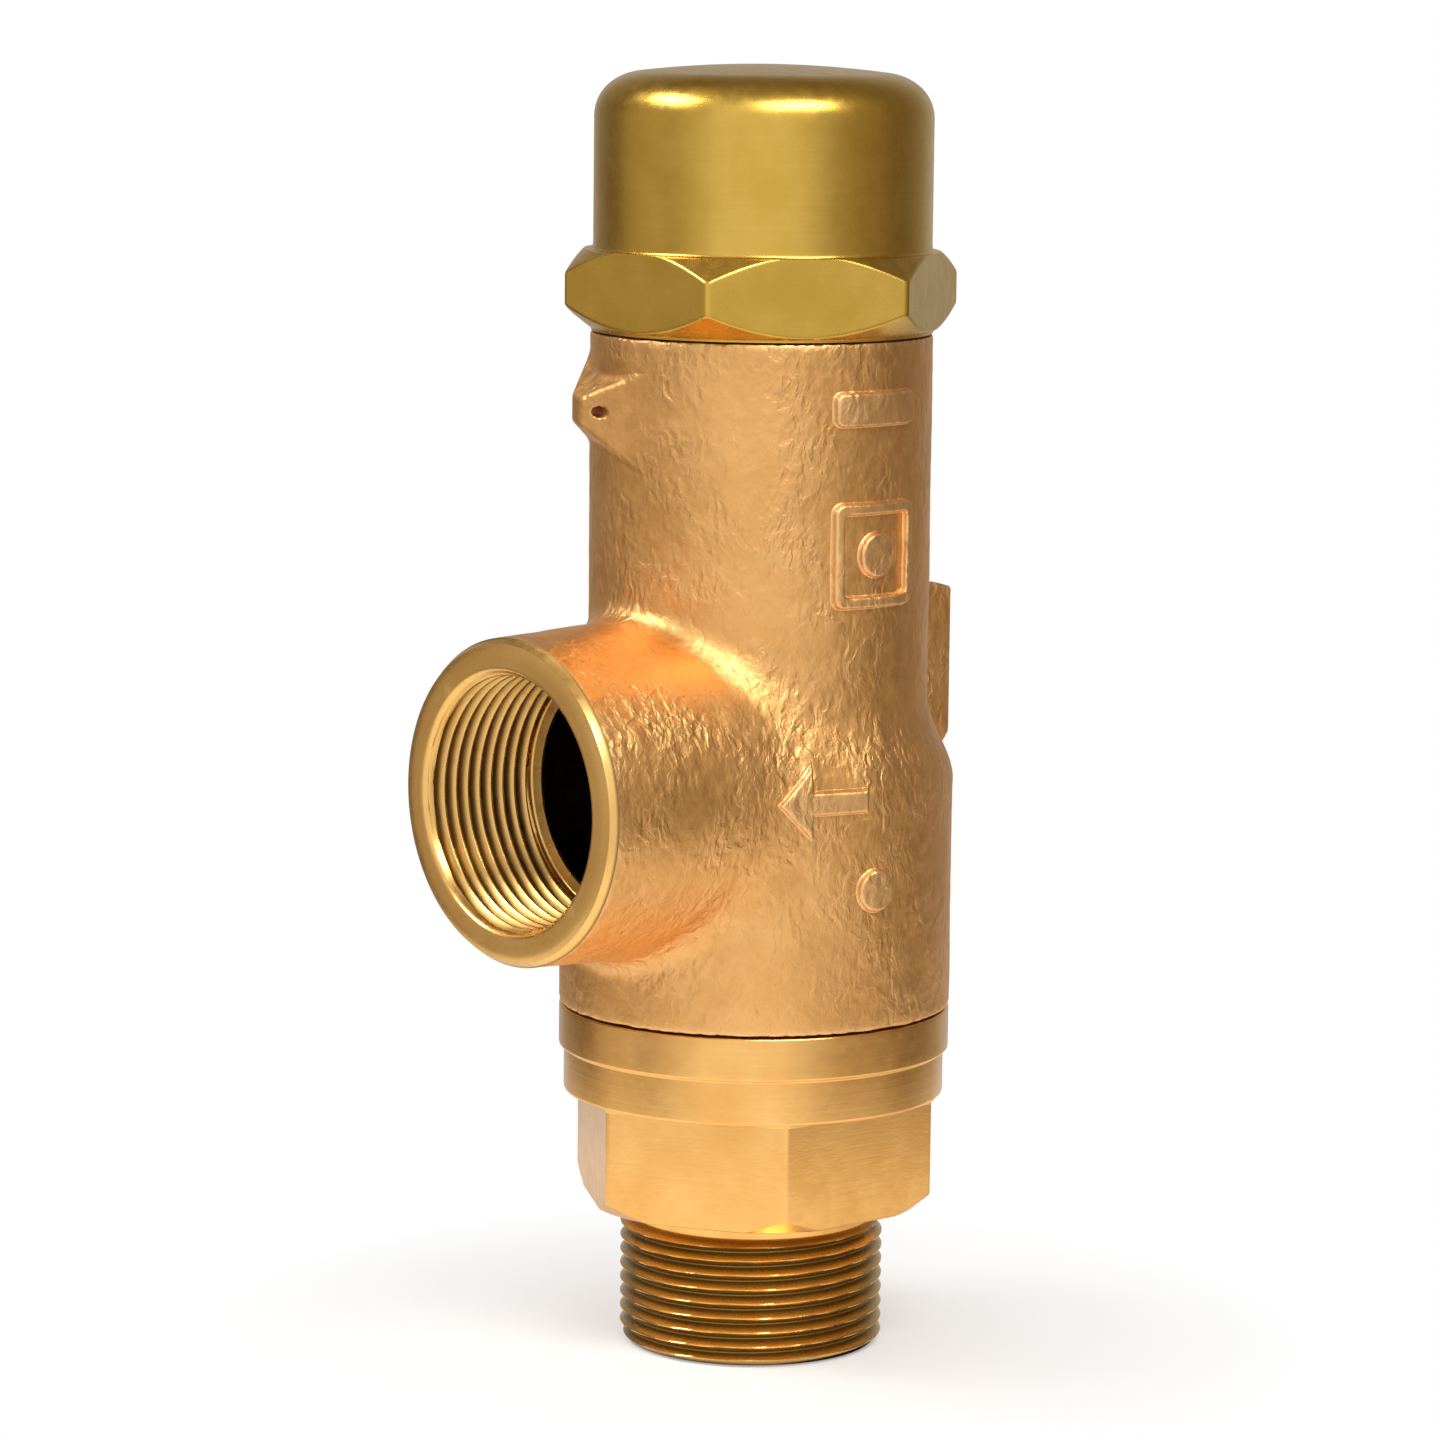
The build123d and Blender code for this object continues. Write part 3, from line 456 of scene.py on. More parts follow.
def raised_mark(name, shape, degrees, height, reach):
    """A raised mark on the casting's side, with a fillet at its foot."""
    local, out = facing(degrees, height)

    def field(x, y, z):
        u, v, _ = local(x, y, z)
        side = cast_skin(x, y, z)
        flat = shape(u, v)
        mark = cut(side - MARK_RISE, flat, MARK_EDGE)
        mark = join(mark, side + SKIN_OVERLAP, MARK_FILLET)
        return np.maximum(np.maximum(mark, flat - 0.9), -side - 1.0)

    middle = np.array([out[0] * MARK_R, out[1] * MARK_R, height])
    return name, field, middle - reach, middle + reach


def arrow_shape(u, v):
    corners = [(-7.5, 0), (-2, 5.5), (-2, 1.7), (7.5, 1.7), (7.5, -1.7), (-2, -1.7), (-2, -5.5)]
    return polygon(u, v, corners)


def plate_shape(u, v):
    outer = rounded_box(u, v, 16, 16, 1.6)
    inner = rounded_box(u, v, 12.8, 12.8, 0.8)
    return np.minimum(np.maximum(outer, -inner), np.hypot(u, v) - 3.4)


def bar_shape(u, v):
    return rounded_box(u, v, 16, 5, 1.25)


def disc_shape(u, v):
    return np.hypot(u, v) - 3.2


def lug_field(x, y, z):
    """Distance outside the tapered ear for the seal wire, drilled across."""
    local, _ = LUG_FACING
    u, v, outward = local(x, y, z)
    side = body_side(x, y, z)
    share = (outward - (UPPER_R - LUG_SUNK)) / LUG_LENGTH
    wide = np.abs(u) - 13.0 + 11.2 * share
    tall = np.abs(v + 0.12 * u) - 8.6 + 6.6 * share
    ear = cut(wide * LUG_SIDE_SLOPE, tall * LUG_TOP_SLOPE, 0.5)
    ear = cut(ear, outward - (UPPER_R + LUG_REACH), 0.5)
    ear = join(ear, side + SKIN_OVERLAP, 0.7)
    drilled = np.hypot(v, outward - (UPPER_R + 1.8)) - LUG_HOLE_R
    ear = cut(ear, -drilled, 0.25)
    near = np.maximum(np.abs(u) - 14, np.abs(v) - 11)
    return np.maximum(np.maximum(ear, near), np.maximum(-side - 1.5, 15 - outward))


LUG_FACING = facing(LUG_DEG, LUG_Z)
body_pieces = []
mark_pieces = []
casting_low = (-32, OUTLET_Y + RIM_DEPTH - 0.8, BODY_Z)
casting_high = (32, body_high.y, SHOULDER_Z)
points, quads = contour(casting_field, casting_low, casting_high, SKIN_STEP)
casting = piece_from("casting", points, quads)
body_pieces.append(casting)
for name, field, low, high in (
    raised_mark("flow_arrow", arrow_shape, -22.0, OUTLET_Z, np.array([9, 9, 7.5])),
    raised_mark("blank_plate", plate_shape, 0.5, SHOULDER_Z - 32.5, np.array([7, 10, 9.5])),
    raised_mark("blank_bar", bar_shape, 0.5, SHOULDER_Z - 10.0, np.array([7, 10, 4.5])),
    raised_mark("blank_disc", disc_shape, -5.0, BODY_Z + 22.0, np.array([5, 5.5, 5])),
):
    mark_pieces.append(piece_from(name, *contour(field, low, high, DETAIL_STEP)))
body_pieces += mark_pieces
lug_middle = np.array([LUG_FACING[1][0] * 27, LUG_FACING[1][1] * 27, LUG_Z])
lug_reach = np.array([15, 12, 12])
lug_surface = contour(lug_field, lug_middle - lug_reach, lug_middle + lug_reach, DETAIL_STEP)
body_pieces.append(piece_from("wire_lug", *lug_surface))


# ---------------------------------------------------------------- turned pieces

def outlet_place(points):
    """Turned points whose height runs out of the outlet, in the frame's axes."""
    return np.stack([points[:, 0], -points[:, 2], points[:, 1] + OUTLET_Z], -1)


def make_outlet_rim():
    """The machined rim, mouth and inside thread of the outlet."""
    angles = np.radians(np.arange(0, 360, 2.0))
    count = len(angles)
    face = -OUTLET_Y
    depth = face - 20.0
    outer = [
        (SLEEVE_R + 0.2, depth - 1.5, 0.0),
        (SLEEVE_R + 0.2, face - RIM_DEPTH - 1.0, 0.0),
        (BOSS_R - 0.4, face - RIM_DEPTH - 1.0, 0.0),
        (BOSS_R + 0.1, face - RIM_DEPTH, 0.0),
        (BOSS_R - 0.25, face - 1.1, 0.0),
        (BOSS_R - 0.75, face - 0.3, 0.0),
        (BOSS_R - 1.9, face, 1.0),
        (MOUTH_R, face, 0.45),
        (MOUTH_R - 0.6, face - 0.7, 0.0),
    ]
    radius_a, height_a = rounded(outer, count, steps=5)
    radius_b, height_b = thread_rows(angles, face - 0.8, depth, PIPE_MINOR_R, PIPE_MAJOR_R, PIPE_PITCH)
    radius_b = np.maximum(radius_b, PIPE_MINOR_R + np.maximum(height_b - (face - 1.8), 0) * 0.5)
    radius_b = np.minimum(radius_b, MOUTH_R - 0.6 + (face - 0.7 - height_b) * 1.2)
    inner = [
        (PIPE_MINOR_R, depth - 0.2, 0.0),
        (PIPE_MINOR_R - 0.2, depth - 0.8, 0.3),
        (PASSAGE_R, depth - 1.5, 0.3),
    ]
    radius_c, height_c = rounded(inner, count)
    radius = np.vstack([radius_a, radius_b, radius_c])
    height = np.vstack([height_a, height_b, height_c])
    return columns("outlet_rim", angles, radius, height, place=outlet_place)


def make_neck():
    """The neck's outside thread for the cap and inside thread for the adjusting screw."""
    angles = np.radians(np.arange(0, 360, 2.5))
    count = len(angles)
    low = SHOULDER_Z - 2.6
    radius_a, height_a = rounded(
        [(SCREW_BORE_R + 0.4, low, 0.0), (20.6, low, 0.2), (20.6, SHOULDER_Z - 1, 0.0),
         (NECK_RUNOUT_R, SHOULDER_Z - 1, 0.0), (NECK_RUNOUT_R, SHOULDER_Z + 1.6, 0.3)], count)
    radius_b, height_b = thread_rows(
        angles, SHOULDER_Z + 1.8, NECK_TOP_Z - 0.1, NECK_ROOT_R, NECK_R, CAP_PITCH)
    low_runout = NECK_RUNOUT_R + (height_b - SHOULDER_Z - 1.6)
    top_runout = NECK_RUNOUT_R + 0.1 + (NECK_TOP_Z - height_b)
    radius_b = np.minimum(radius_b, np.minimum(low_runout, top_runout))
    radius_c, height_c = rounded(
        [(22.4, NECK_TOP_Z, 0.0), (19.4, NECK_TOP_Z, 0.0), (SCREW_GROOVE_R, NECK_TOP_Z - 0.4, 0.0)], count)
    radius_d, height_d = thread_rows(
        angles, NECK_TOP_Z - 0.5, low + 0.2, SCREW_BORE_R, SCREW_GROOVE_R, SCREW_PITCH)
    radius_d = np.maximum(radius_d, SCREW_BORE_R + 0.7 - (NECK_TOP_Z - height_d))
    return columns("neck_thread", angles, np.vstack([radius_a, radius_b, radius_c, radius_d]),
                   np.vstack([height_a, height_b, height_c, height_d]))


def make_nozzle():
    """The inlet nozzle with its pipe thread, hexagon, two flanges and seat."""
    corner_deg = -91.0
    angles = sector_angles([0, 0.3, 0.6, 0.9, 1.4, 2.2] + list(range(4, 31, 3)), corner_deg)
    count = len(angles)
    hexagon = hex_radius(angles, corner_deg, NOZZLE_FLATS, 0.9)
    low_r, slope = 27.2, 2.6 / 2.2
    hex_low, hex_high, upper_z = 23.0, 40.6, 47.8
    chamfer_z = hex_low + 0.35 + np.maximum(hexagon - low_r, 0) / slope
    top = nozzle_high.z
    face = BODY_Z - 0.4
    radius_a, height_a = rounded(
        [(16.2, 0.0, 0.0), (16.4, 0.0, 0.0),
         (PIPE_MAJOR_R - 1.3, 0.0, 0.2), (PIPE_MAJOR_R - 1.1, 0.15, 0.0)], count)
    radius_b, height_b = thread_rows(angles, 0.2, 20.0, PIPE_MINOR_R, PIPE_MAJOR_R, PIPE_PITCH)
    low_runout = PIPE_MAJOR_R - 1.25 + height_b
    top_runout = 19.3 + (20.1 - height_b) * 1.3
    radius_b = np.minimum(radius_b, np.minimum(low_runout, top_runout))
    radius_c, height_c = rounded([
        (NOZZLE_UNDERCUT_R, 20.2, 0.0),
        (NOZZLE_UNDERCUT_R, hex_low, 0.5),
        (np.minimum(low_r, hexagon) - 0.3, hex_low, 0.3),
        (hexagon, chamfer_z, 0.35),
        (hexagon, hex_high, 0.45),
        (NOZZLE_WAIST_R, hex_high, 0.6),
        (NOZZLE_WAIST_R, upper_z, 0.45),
        (LOWER_R, upper_z, 0.45),
        (LOWER_R, face, 0.5),
        (NOZZLE_GASKET_R, face, 0.2),
        (NOZZLE_GASKET_R, face - 0.8, 0.1),
        (NOZZLE_SPIGOT_R, face - 0.8, 0.1),
        (NOZZLE_SPIGOT_R, top - 4, 0.6),
        (SEAT_STEP_R, top - 4, 0.4),
        (SEAT_STEP_R, top - 1, 0.2),
        (SEAT_R, top - 1, 0.2),
        (SEAT_R, top, 0.25),
        (ORIFICE_R, top, 0.25),
        (ORIFICE_R, 42.0, 2.0),
        (16.0, 0.4, 0.0),
    ], count, steps=5)
    return columns("nozzle", angles, np.vstack([radius_a, radius_b, radius_c]),
                   np.vstack([height_a, height_b, height_c]))


def make_cap():
    """The screwed cap with its chamfered hexagon, rounded dome and inside thread."""
    corner_deg = 3.0
    angles = sector_angles([0, 0.35, 0.7, 1.05, 1.5, 2.2] + list(range(3, 31, 3)), corner_deg)
    count = len(angles)
    hexagon = hex_radius(angles, corner_deg, CAP_FLATS, 1.1)
    base, top = cap_low.z, cap_high.z
    hex_low, hex_high = base + 0.65, base + 12.7
    corner_r = CAP_FLATS / math.sqrt(3)
    drop, low_round_r, high_round_r = 3.6, 27.4, 27.9
    low_chamfer = hex_low + np.maximum(hexagon - low_round_r, 0) * drop / (corner_r - low_round_r)
    high_chamfer = hex_high - np.maximum(hexagon - high_round_r, 0) * drop / (corner_r - high_round_r)
    crown_r, dome_r, shoulder = 19.5, 26.5, top - 1.2
    rows_r, rows_z = [], []
    for share in np.linspace(0.04, 0.98, 14):
        rows_r.append(spread(crown_r * share, count))
        rows_z.append(spread(top - 1.2 * share**2, count))
    start, end = np.array([crown_r, shoulder]), np.array([dome_r, shoulder - 7.0])
    first = start + 3.87 * np.array([1.0, -0.123])
    second = end + np.array([0.0, 3.87])
    for t in np.linspace(0, 1, 15):
        spot = (1 - t) ** 3 * start + 3 * t * (1 - t) ** 2 * first + 3 * t * t * (1 - t) * second + t**3 * end
        rows_r.append(spread(spot[0], count))
        rows_z.append(spread(spot[1], count))
    thread_top = base + 12.5
    radius_b, height_b = rounded([
        (dome_r, shoulder - 8.0, 0.0),
        (dome_r, hex_high, 1.1),
        (np.minimum(high_round_r, hexagon), hex_high, 0.3),
        (hexagon, high_chamfer, 0.5),
        (hexagon, low_chamfer, 0.5),
        (27.2, hex_low - 0.05, 0.3),
        (CAP_RIM_R, hex_low - 0.3, 0.1),
        (CAP_RIM_R, base, 0.2),
        (CAP_RECESS_R, base, 0.2),
        (CAP_RECESS_R, base + 0.95, 0.1),
        (24.95, base + 0.95, 0.0),
    ], count, steps=5)
    radius_c, height_c = thread_rows(
        angles, base + 1.0, thread_top - 1.6, CAP_BORE_R, CAP_GROOVE_R, CAP_PITCH, per_turn=12)
    radius_d, height_d = rounded([
        (CAP_BORE_R + 0.9, thread_top - 1.4, 0.0),
        (CAP_BORE_R + 0.9, thread_top - 0.2, 0.3),
        (CAP_INSIDE_R, thread_top, 0.4),
        (CAP_INSIDE_R, top - 3.4, 3.6),
        (1.0, top - 3.4, 0.0),
    ], count, steps=6)
    return columns("cap_shell", angles, np.vstack([np.array(rows_r), radius_b, radius_c, radius_d]),
                   np.vstack([np.array(rows_z), height_b, height_c, height_d]), closed=False)


def make_screw():
    """The hollow adjusting screw with its fine thread and hexagon."""
    angles = sector_angles([0, 0.6, 1.2, 2] + list(range(4, 31, 3)), 0.0)
    count = len(angles)
    hexagon = hex_radius(angles, 0.0, SCREW_FLATS, 0.3)
    low, top = screw_low.z, screw_high.z
    hex_z = low + 16.0
    radius_a, height_a = rounded([
        (1.0, hex_z + 4, 0.0), (SCREW_HOLLOW_R, hex_z + 4, 0.2), (SCREW_HOLLOW_R, low, 0.2),
        (16.9, low, 0.0), (17.2, low + 0.15, 0.0)], count)
    radius_b, height_b = thread_rows(
        angles, low + 0.2, hex_z - 0.2, SCREW_ROOT_R, SCREW_CREST_R, SCREW_PITCH)
    radius_b = np.minimum(radius_b, 17.3 + np.minimum(height_b - low, hex_z - height_b))
    chamfer = top - np.maximum(hexagon - 11.0, 0) * 0.6 - 0.1
    radius_c, height_c = rounded([
        (17.2, hex_z - 0.1, 0.0), (16.8, hex_z, 0.0), (hexagon, hex_z, 0.4), (hexagon, chamfer, 0.3),
        (10.9, top, 0.2), (1.0, top, 0.0)], count)
    return columns("adjusting_screw_turned", angles, np.vstack([radius_a, radius_b, radius_c]),
                   np.vstack([height_a, height_b, height_c]), closed=False)


def make_spring():
    """The main spring: a round wire, closed and ground flat at both ends."""
    low, high = spring_low.z, spring_high.z
    turns, closed_turns = 6.3, 0.9
    along = np.linspace(0, turns, 420)
    inner = turns - 2 * closed_turns
    rise = np.clip((along - closed_turns) / inner, 0, 1)
    ends = 2 * WIRE_R - 0.3
    lift = np.minimum(along, closed_turns) / closed_turns * ends * END_SHARE
    lift = lift + np.maximum(along - turns + closed_turns, 0) / closed_turns * ends * END_SHARE
    span = (high - low) - 2 * (WIRE_R * END_SHARE) - 2 * ends * END_SHARE
    height = low + WIRE_R * END_SHARE + lift + rise * span
    angle = along * 2 * math.pi
    centre = np.stack([COIL_R * np.cos(angle), COIL_R * np.sin(angle), height], -1)
    tangent = np.gradient(centre, axis=0)
    tangent /= np.linalg.norm(tangent, axis=1, keepdims=True)
    out = np.stack([np.cos(angle), np.sin(angle), np.zeros(len(angle))], -1)
    up = np.cross(tangent, out)
    sides = np.linspace(0, 2 * math.pi, 18, endpoint=False)
    rings = centre[:, None] + WIRE_R * (
        np.cos(sides)[None, :, None] * out[:, None] + np.sin(sides)[None, :, None] * up[:, None])
    rings[:, :, 2] = np.clip(rings[:, :, 2], low, high)
    total, count = rings.shape[:2]
    index = np.arange(total * count).reshape(total, count)
    following = np.roll(index, -1, 1)
    quads = np.stack([index[:-1], following[:-1], following[1:], index[1:]], -1).reshape(-1, 4)
    points = np.vstack([rings.reshape(-1, 3), centre[0], centre[-1]])
    first, last = total * count, total * count + 1
    triangles = np.vstack([
        np.stack([following[0], index[0], np.full(count, first)], -1),
        np.stack([index[-1], following[-1], np.full(count, last)], -1),
    ])
    return piece_from("spring_coil", points, quads, triangles)


rim = make_outlet_rim()
neck = make_neck()
body_pieces += [rim, neck]
nozzle = make_nozzle()
cap = make_cap()
screw = make_screw()
coil = make_spring()


# ---------------------------------------------------------------- materials

def add_node(tree, kind, inputs=(), **settings):
    """A new node with its settings; each input is a constant or a link from another node's output."""
    made = tree.nodes.new(kind)
    for key, value in settings.items():
        setattr(made, key, value)
    for key, value in dict(inputs).items():
        if isinstance(value, bpy.types.NodeSocket):
            tree.links.new(value, made.inputs[key])
        else:
            made.inputs[key].default_value = value
    return made


class Paint:
    """A material under construction, on the mesh's own coordinates."""

    def __init__(self, name):
        self.material = bpy.data.materials.new(name)
        self.material.use_nodes = True
        self.tree = self.material.node_tree
        self.shader = self.tree.nodes["Principled BSDF"]
        self.place = self.add("ShaderNodeTexCoord").outputs["Object"]

    def add(self, kind, inputs=(), **settings):
        return add_node(self.tree, kind, inputs, **settings)

    def noise(self, size_mm, detail=3.0, rough=0.55, vector=None):
        made = self.add("ShaderNodeTexNoise", {
            "Vector": self.place if vector is None else vector, "Scale": 1 / (size_mm * MM), "Detail": detail,
            "Roughness": rough})
        return made.outputs["Fac"]

    def range(self, value, low, high, to_low, to_high):
        made = self.add("ShaderNodeMapRange", {
            "Value": value, "From Min": low, "From Max": high, "To Min": to_low, "To Max": to_high})
        return made.outputs["Result"]

    def math(self, operation, a, b=0.0):
        return self.add("ShaderNodeMath", {0: a, 1: b}, operation=operation).outputs[0]

    def mix(self, share, a, b):
        made = self.add("ShaderNodeMix", data_type="RGBA")
        for socket, value in ((made.inputs[0], share), (made.inputs[6], a), (made.inputs[7], b)):
            if isinstance(value, bpy.types.NodeSocket):
                self.tree.links.new(value, socket)
            else:
                socket.default_value = value
        return made.outputs[2]

    def axis_distance(self, axis):
        """Distance from the valve's axis, or from the outlet's."""
        centre = (0, 0, 0) if axis == "z" else (0, 0, OUTLET_Z * MM)
        keep = (1, 1, 0) if axis == "z" else (1, 0, 1)
        moved = self.add("ShaderNodeVectorMath", {0: self.place, 1: centre}, operation="SUBTRACT").outputs[0]
        flat = self.add("ShaderNodeVectorMath", {0: moved, 1: keep}, operation="MULTIPLY").outputs[0]
        return self.add("ShaderNodeVectorMath", {0: flat}, operation="LENGTH").outputs["Value"]

    def turning(self, axis, size_mm):
        """Noise that runs in rings round an axis, as a lathe tool leaves."""
        parts = self.add("ShaderNodeSeparateXYZ", {0: self.place})
        radius = self.axis_distance(axis)
        along = parts.outputs["Z" if axis == "z" else "Y"]
        spun = self.add("ShaderNodeCombineXYZ", {0: radius, 1: along, 2: 0.0}).outputs[0]
        return self.noise(size_mm, 2.0, 0.6, spun)

    def bump(self, height, distance_mm, strength, under=None):
        inputs = {"Height": height, "Distance": distance_mm * MM, "Strength": strength}
        if under is not None:
            inputs["Normal"] = under
        return self.add("ShaderNodeBump", inputs).outputs[0]

    def set(self, **sockets):
        for key, value in sockets.items():
            socket = self.shader.inputs[key.replace("_", " ")]
            if isinstance(value, bpy.types.NodeSocket):
                self.tree.links.new(value, socket)
            else:
                socket.default_value = value


def colour(r, g, b):
    return (r, g, b, 1.0)


def edge_wear(paint, low=0.52, high=0.60):
    point = paint.add("ShaderNodeNewGeometry").outputs["Pointiness"]
    return paint.range(point, low, high, 0.0, 1.0)


def cast_bronze(name, rubbed_and_highlight):
    """Blasted cast bronze: patchy colour, a pecked and grainy skin, painted shade that turns its inner
    hollows near black, and an overall lightening that is partly rubbed wear and partly a painted highlight.
    """
    paint = Paint(name)
    patches = paint.range(paint.noise(14, 5, 0.6), 0.35, 0.65, 0.0, 1.0)
    speckle = paint.range(paint.noise(0.9, 4, 0.65), 0.35, 0.7, 0.0, 1.0)
    tone = paint.mix(patches, colour(0.84, 0.455, 0.155), colour(0.72, 0.375, 0.115))
    tone = paint.mix(paint.math("MULTIPLY", speckle, 0.3), tone, colour(0.92, 0.54, 0.21))
    tone = paint.mix(paint.math("MULTIPLY", edge_wear(paint, 0.52, 0.58), 0.7), tone, colour(1.0, 0.68, 0.34))
    swirl = paint.add("ShaderNodeTexNoise", {"Vector": paint.place, "Scale": 180.0, "Detail": 2.0})
    bend = paint.add("ShaderNodeVectorMath", {
        0: swirl.outputs["Color"], 1: (0.004, 0.004, 0.004)}, operation="MULTIPLY").outputs[0]
    bent = paint.add("ShaderNodeVectorMath", {0: paint.place, 1: bend}, operation="ADD").outputs[0]
    stretched = paint.add("ShaderNodeVectorMath", {
        0: bent, 1: (1.0, 1.0, 0.55)}, operation="MULTIPLY").outputs[0]
    cells = paint.add("ShaderNodeTexVoronoi", {"Vector": stretched, "Scale": 620.0, "Randomness": 1.0})
    pecks = paint.range(cells.outputs["Distance"], 0.05, 0.55, 0.0, 1.0)
    busy = paint.range(paint.noise(11, 3, 0.5), 0.40, 0.60, 0.15, 1.0)
    pecks = paint.math("MULTIPLY", pecks, busy)
    tone = paint.mix(paint.math("MULTIPLY", pecks, 0.16), tone, colour(0.95, 0.60, 0.30))
    # The second argument lightens the whole surface: partly rubbed wear, partly a painted highlight for the
    # raised marks.
    tone = paint.mix(rubbed_and_highlight, tone, colour(0.98, 0.64, 0.32))
    rough = paint.range(paint.noise(2.4, 4), 0.3, 0.7, 0.38, 0.50)
    radius = paint.axis_distance("z")
    from_outlet = paint.axis_distance("y")
    parts = paint.add("ShaderNodeSeparateXYZ", {0: paint.place})
    # Painted shade: the body's inner bore up to 96 mm high and the outlet's passage are masked here to be
    # painted near black, as shade inside the hollows.
    inside = paint.range(radius, 0.0256, 0.0266, 1.0, 0.0)
    upper = paint.range(parts.outputs["Z"], 0.096, 0.097, 1.0, 0.0)
    inside = paint.math("MULTIPLY", inside, upper)
    passage_shade = paint.math("MULTIPLY", paint.range(from_outlet, 0.0182, 0.0186, 1.0, 0.0),
                         paint.range(parts.outputs["Y"], 0.0, 0.001, 1.0, 0.0))
    inside = paint.math("MAXIMUM", inside, passage_shade)
    # Painted shade: near black in the masked hollows, standing in for the shade inside the casting.
    tone = paint.mix(inside, tone, colour(0.022, 0.014, 0.008))
    normal = paint.bump(paint.noise(7.0, 3, 0.5), 0.5, 0.5)
    strokes = paint.range(paint.noise(1.6, 3, 0.5, stretched), 0.44, 0.56, 0.0, 1.0)
    normal = paint.bump(paint.math("MULTIPLY", strokes, busy), 0.12, 0.65, normal)
    normal = paint.bump(pecks, 0.16, 0.75, normal)
    normal = paint.bump(paint.noise(1.5, 3, 0.55), 0.16, 0.6, normal)
    normal = paint.bump(paint.noise(0.36, 4, 0.7), 0.05, 0.6, normal)
    paint.set(Base_Color=tone, Metallic=1.0, Roughness=rough, Normal=normal)
    return paint.material


def machined(
        name, light, dark, rough_low, rough_high, axis, ring_mm, ring_depth,
        threads=None, grime=None, wear=0.6):
    """A turned metal: ring marks, patches, brighter edges and, in its threads, dark roots.

    threads is (low, high, root radius, crest radius, added roughness) in millimetres along and from the axis;
    grime is (share of the threads, its colour, share at the roots, its colour).
    """
    paint = Paint(name)
    patches = paint.range(paint.noise(9, 4), 0.35, 0.65, 0.0, 1.0)
    rings = paint.turning(axis, ring_mm)
    tone = paint.mix(patches, colour(*light), colour(*dark))
    tone = paint.mix(paint.range(rings, 0.35, 0.65, 0.0, 0.35), tone, colour(*dark))
    bare = colour(*[min(1.0, v * 1.25) for v in light])
    tone = paint.mix(paint.math("MULTIPLY", edge_wear(paint), wear), tone, bare)
    rough = paint.range(paint.noise(2.2, 4), 0.3, 0.7, rough_low, rough_high)
    if threads:
        low, high, root, crest, grime_rough = threads
        radius = paint.axis_distance(axis)
        parts = paint.add("ShaderNodeSeparateXYZ", {0: paint.place})
        along = parts.outputs["Z" if axis == "z" else "Y"]
        depth = paint.range(radius, root * MM, crest * MM, 1.0, 0.0)
        if axis == "y":
            depth = paint.range(radius, root * MM, crest * MM, 0.0, 1.0)
        within = paint.math("MULTIPLY", paint.range(along, (low - 0.3) * MM, low * MM, 0.0, 1.0),
                            paint.range(along, high * MM, (high + 0.3) * MM, 1.0, 0.0))
        stain = paint.math("MULTIPLY", within, paint.math("POWER", depth, 1.2))
        tone = paint.mix(paint.math("MULTIPLY", within, grime[0]), tone, colour(*grime[1]))
        tone = paint.mix(paint.math("MULTIPLY", stain, grime[2]), tone, colour(*grime[3]))
        rough = paint.math("ADD", rough, paint.math("MULTIPLY", stain, grime_rough))
    normal = paint.bump(rings, ring_depth, 0.35)
    normal = paint.bump(paint.noise(0.35, 3, 0.6), 0.02, 0.25, normal)
    paint.set(Base_Color=tone, Metallic=1.0, Roughness=rough, Normal=normal)
    return paint.material


def plain(name, light, dark, metallic, rough_low, rough_high, size_mm, depth_mm, **more):
    """A plain finish with patches, speckle and fine bump."""
    paint = Paint(name)
    patches = paint.range(paint.noise(size_mm * 4, 4), 0.35, 0.65, 0.0, 1.0)
    tone = paint.mix(patches, colour(*light), colour(*dark))
    rough = paint.range(paint.noise(size_mm * 2, 3), 0.3, 0.7, rough_low, rough_high)
    normal = paint.bump(paint.noise(size_mm, 4, 0.6), depth_mm, 0.4)
    paint.set(Base_Color=tone, Metallic=metallic, Roughness=rough, Normal=normal, **more)
    return paint.material


bronze = cast_bronze("cast_bronze", 0.0)
# A lighter copy for the raised marks: partly rubbed wear, partly a painted highlight that stands in for their
# lit relief.
rubbed_highlit_bronze = cast_bronze("rubbed_highlit_bronze", 0.35)
DARK_ROOT = (0.17, 0.105, 0.022)
nozzle_metal = machined(
    "machined_nozzle", (0.97, 0.565, 0.19), (0.88, 0.47, 0.135), 0.15, 0.25, "z", 0.9, 0.03,
    threads=(-1.0, 20.0, PIPE_MINOR_R + 0.35, PIPE_MAJOR_R + 0.05, 0.1),
    grime=(0.35, (0.72, 0.50, 0.16), 0.85, DARK_ROOT))
rim_metal = machined(
    "outlet_machined", (0.95, 0.58, 0.20), (0.85, 0.50, 0.15), 0.24, 0.34, "y", 0.8, 0.03,
    threads=(OUTLET_Y + 1.4, -20.0, PIPE_MINOR_R + 0.1, PIPE_MAJOR_R - 0.2, 0.1),
    grime=(0.2, (0.55, 0.37, 0.12), 0.8, DARK_ROOT))
cap_metal = machined(
    "cap_brass", (0.73, 0.465, 0.095), (0.64, 0.395, 0.065), 0.23, 0.32, "z", 0.7, 0.03, wear=0.35)
inner_metal = machined("inner_brass", (0.80, 0.56, 0.22), (0.68, 0.45, 0.15), 0.25, 0.38, "z", 0.6, 0.03)
bush_metal = machined("bush_bronze", (0.72, 0.42, 0.20), (0.60, 0.33, 0.14), 0.3, 0.42, "z", 0.5, 0.02)
steel = machined("stainless_steel", (0.66, 0.65, 0.63), (0.54, 0.53, 0.52), 0.22, 0.34, "z", 0.5, 0.02)
dark_steel = plain("spring_steel", (0.17, 0.17, 0.18), (0.09, 0.09, 0.10), 1.0, 0.3, 0.45, 0.8, 0.02)
rubber = plain("seal_rubber", (0.022, 0.022, 0.024), (0.014, 0.014, 0.016), 0.0, 0.55, 0.7, 0.5, 0.02)
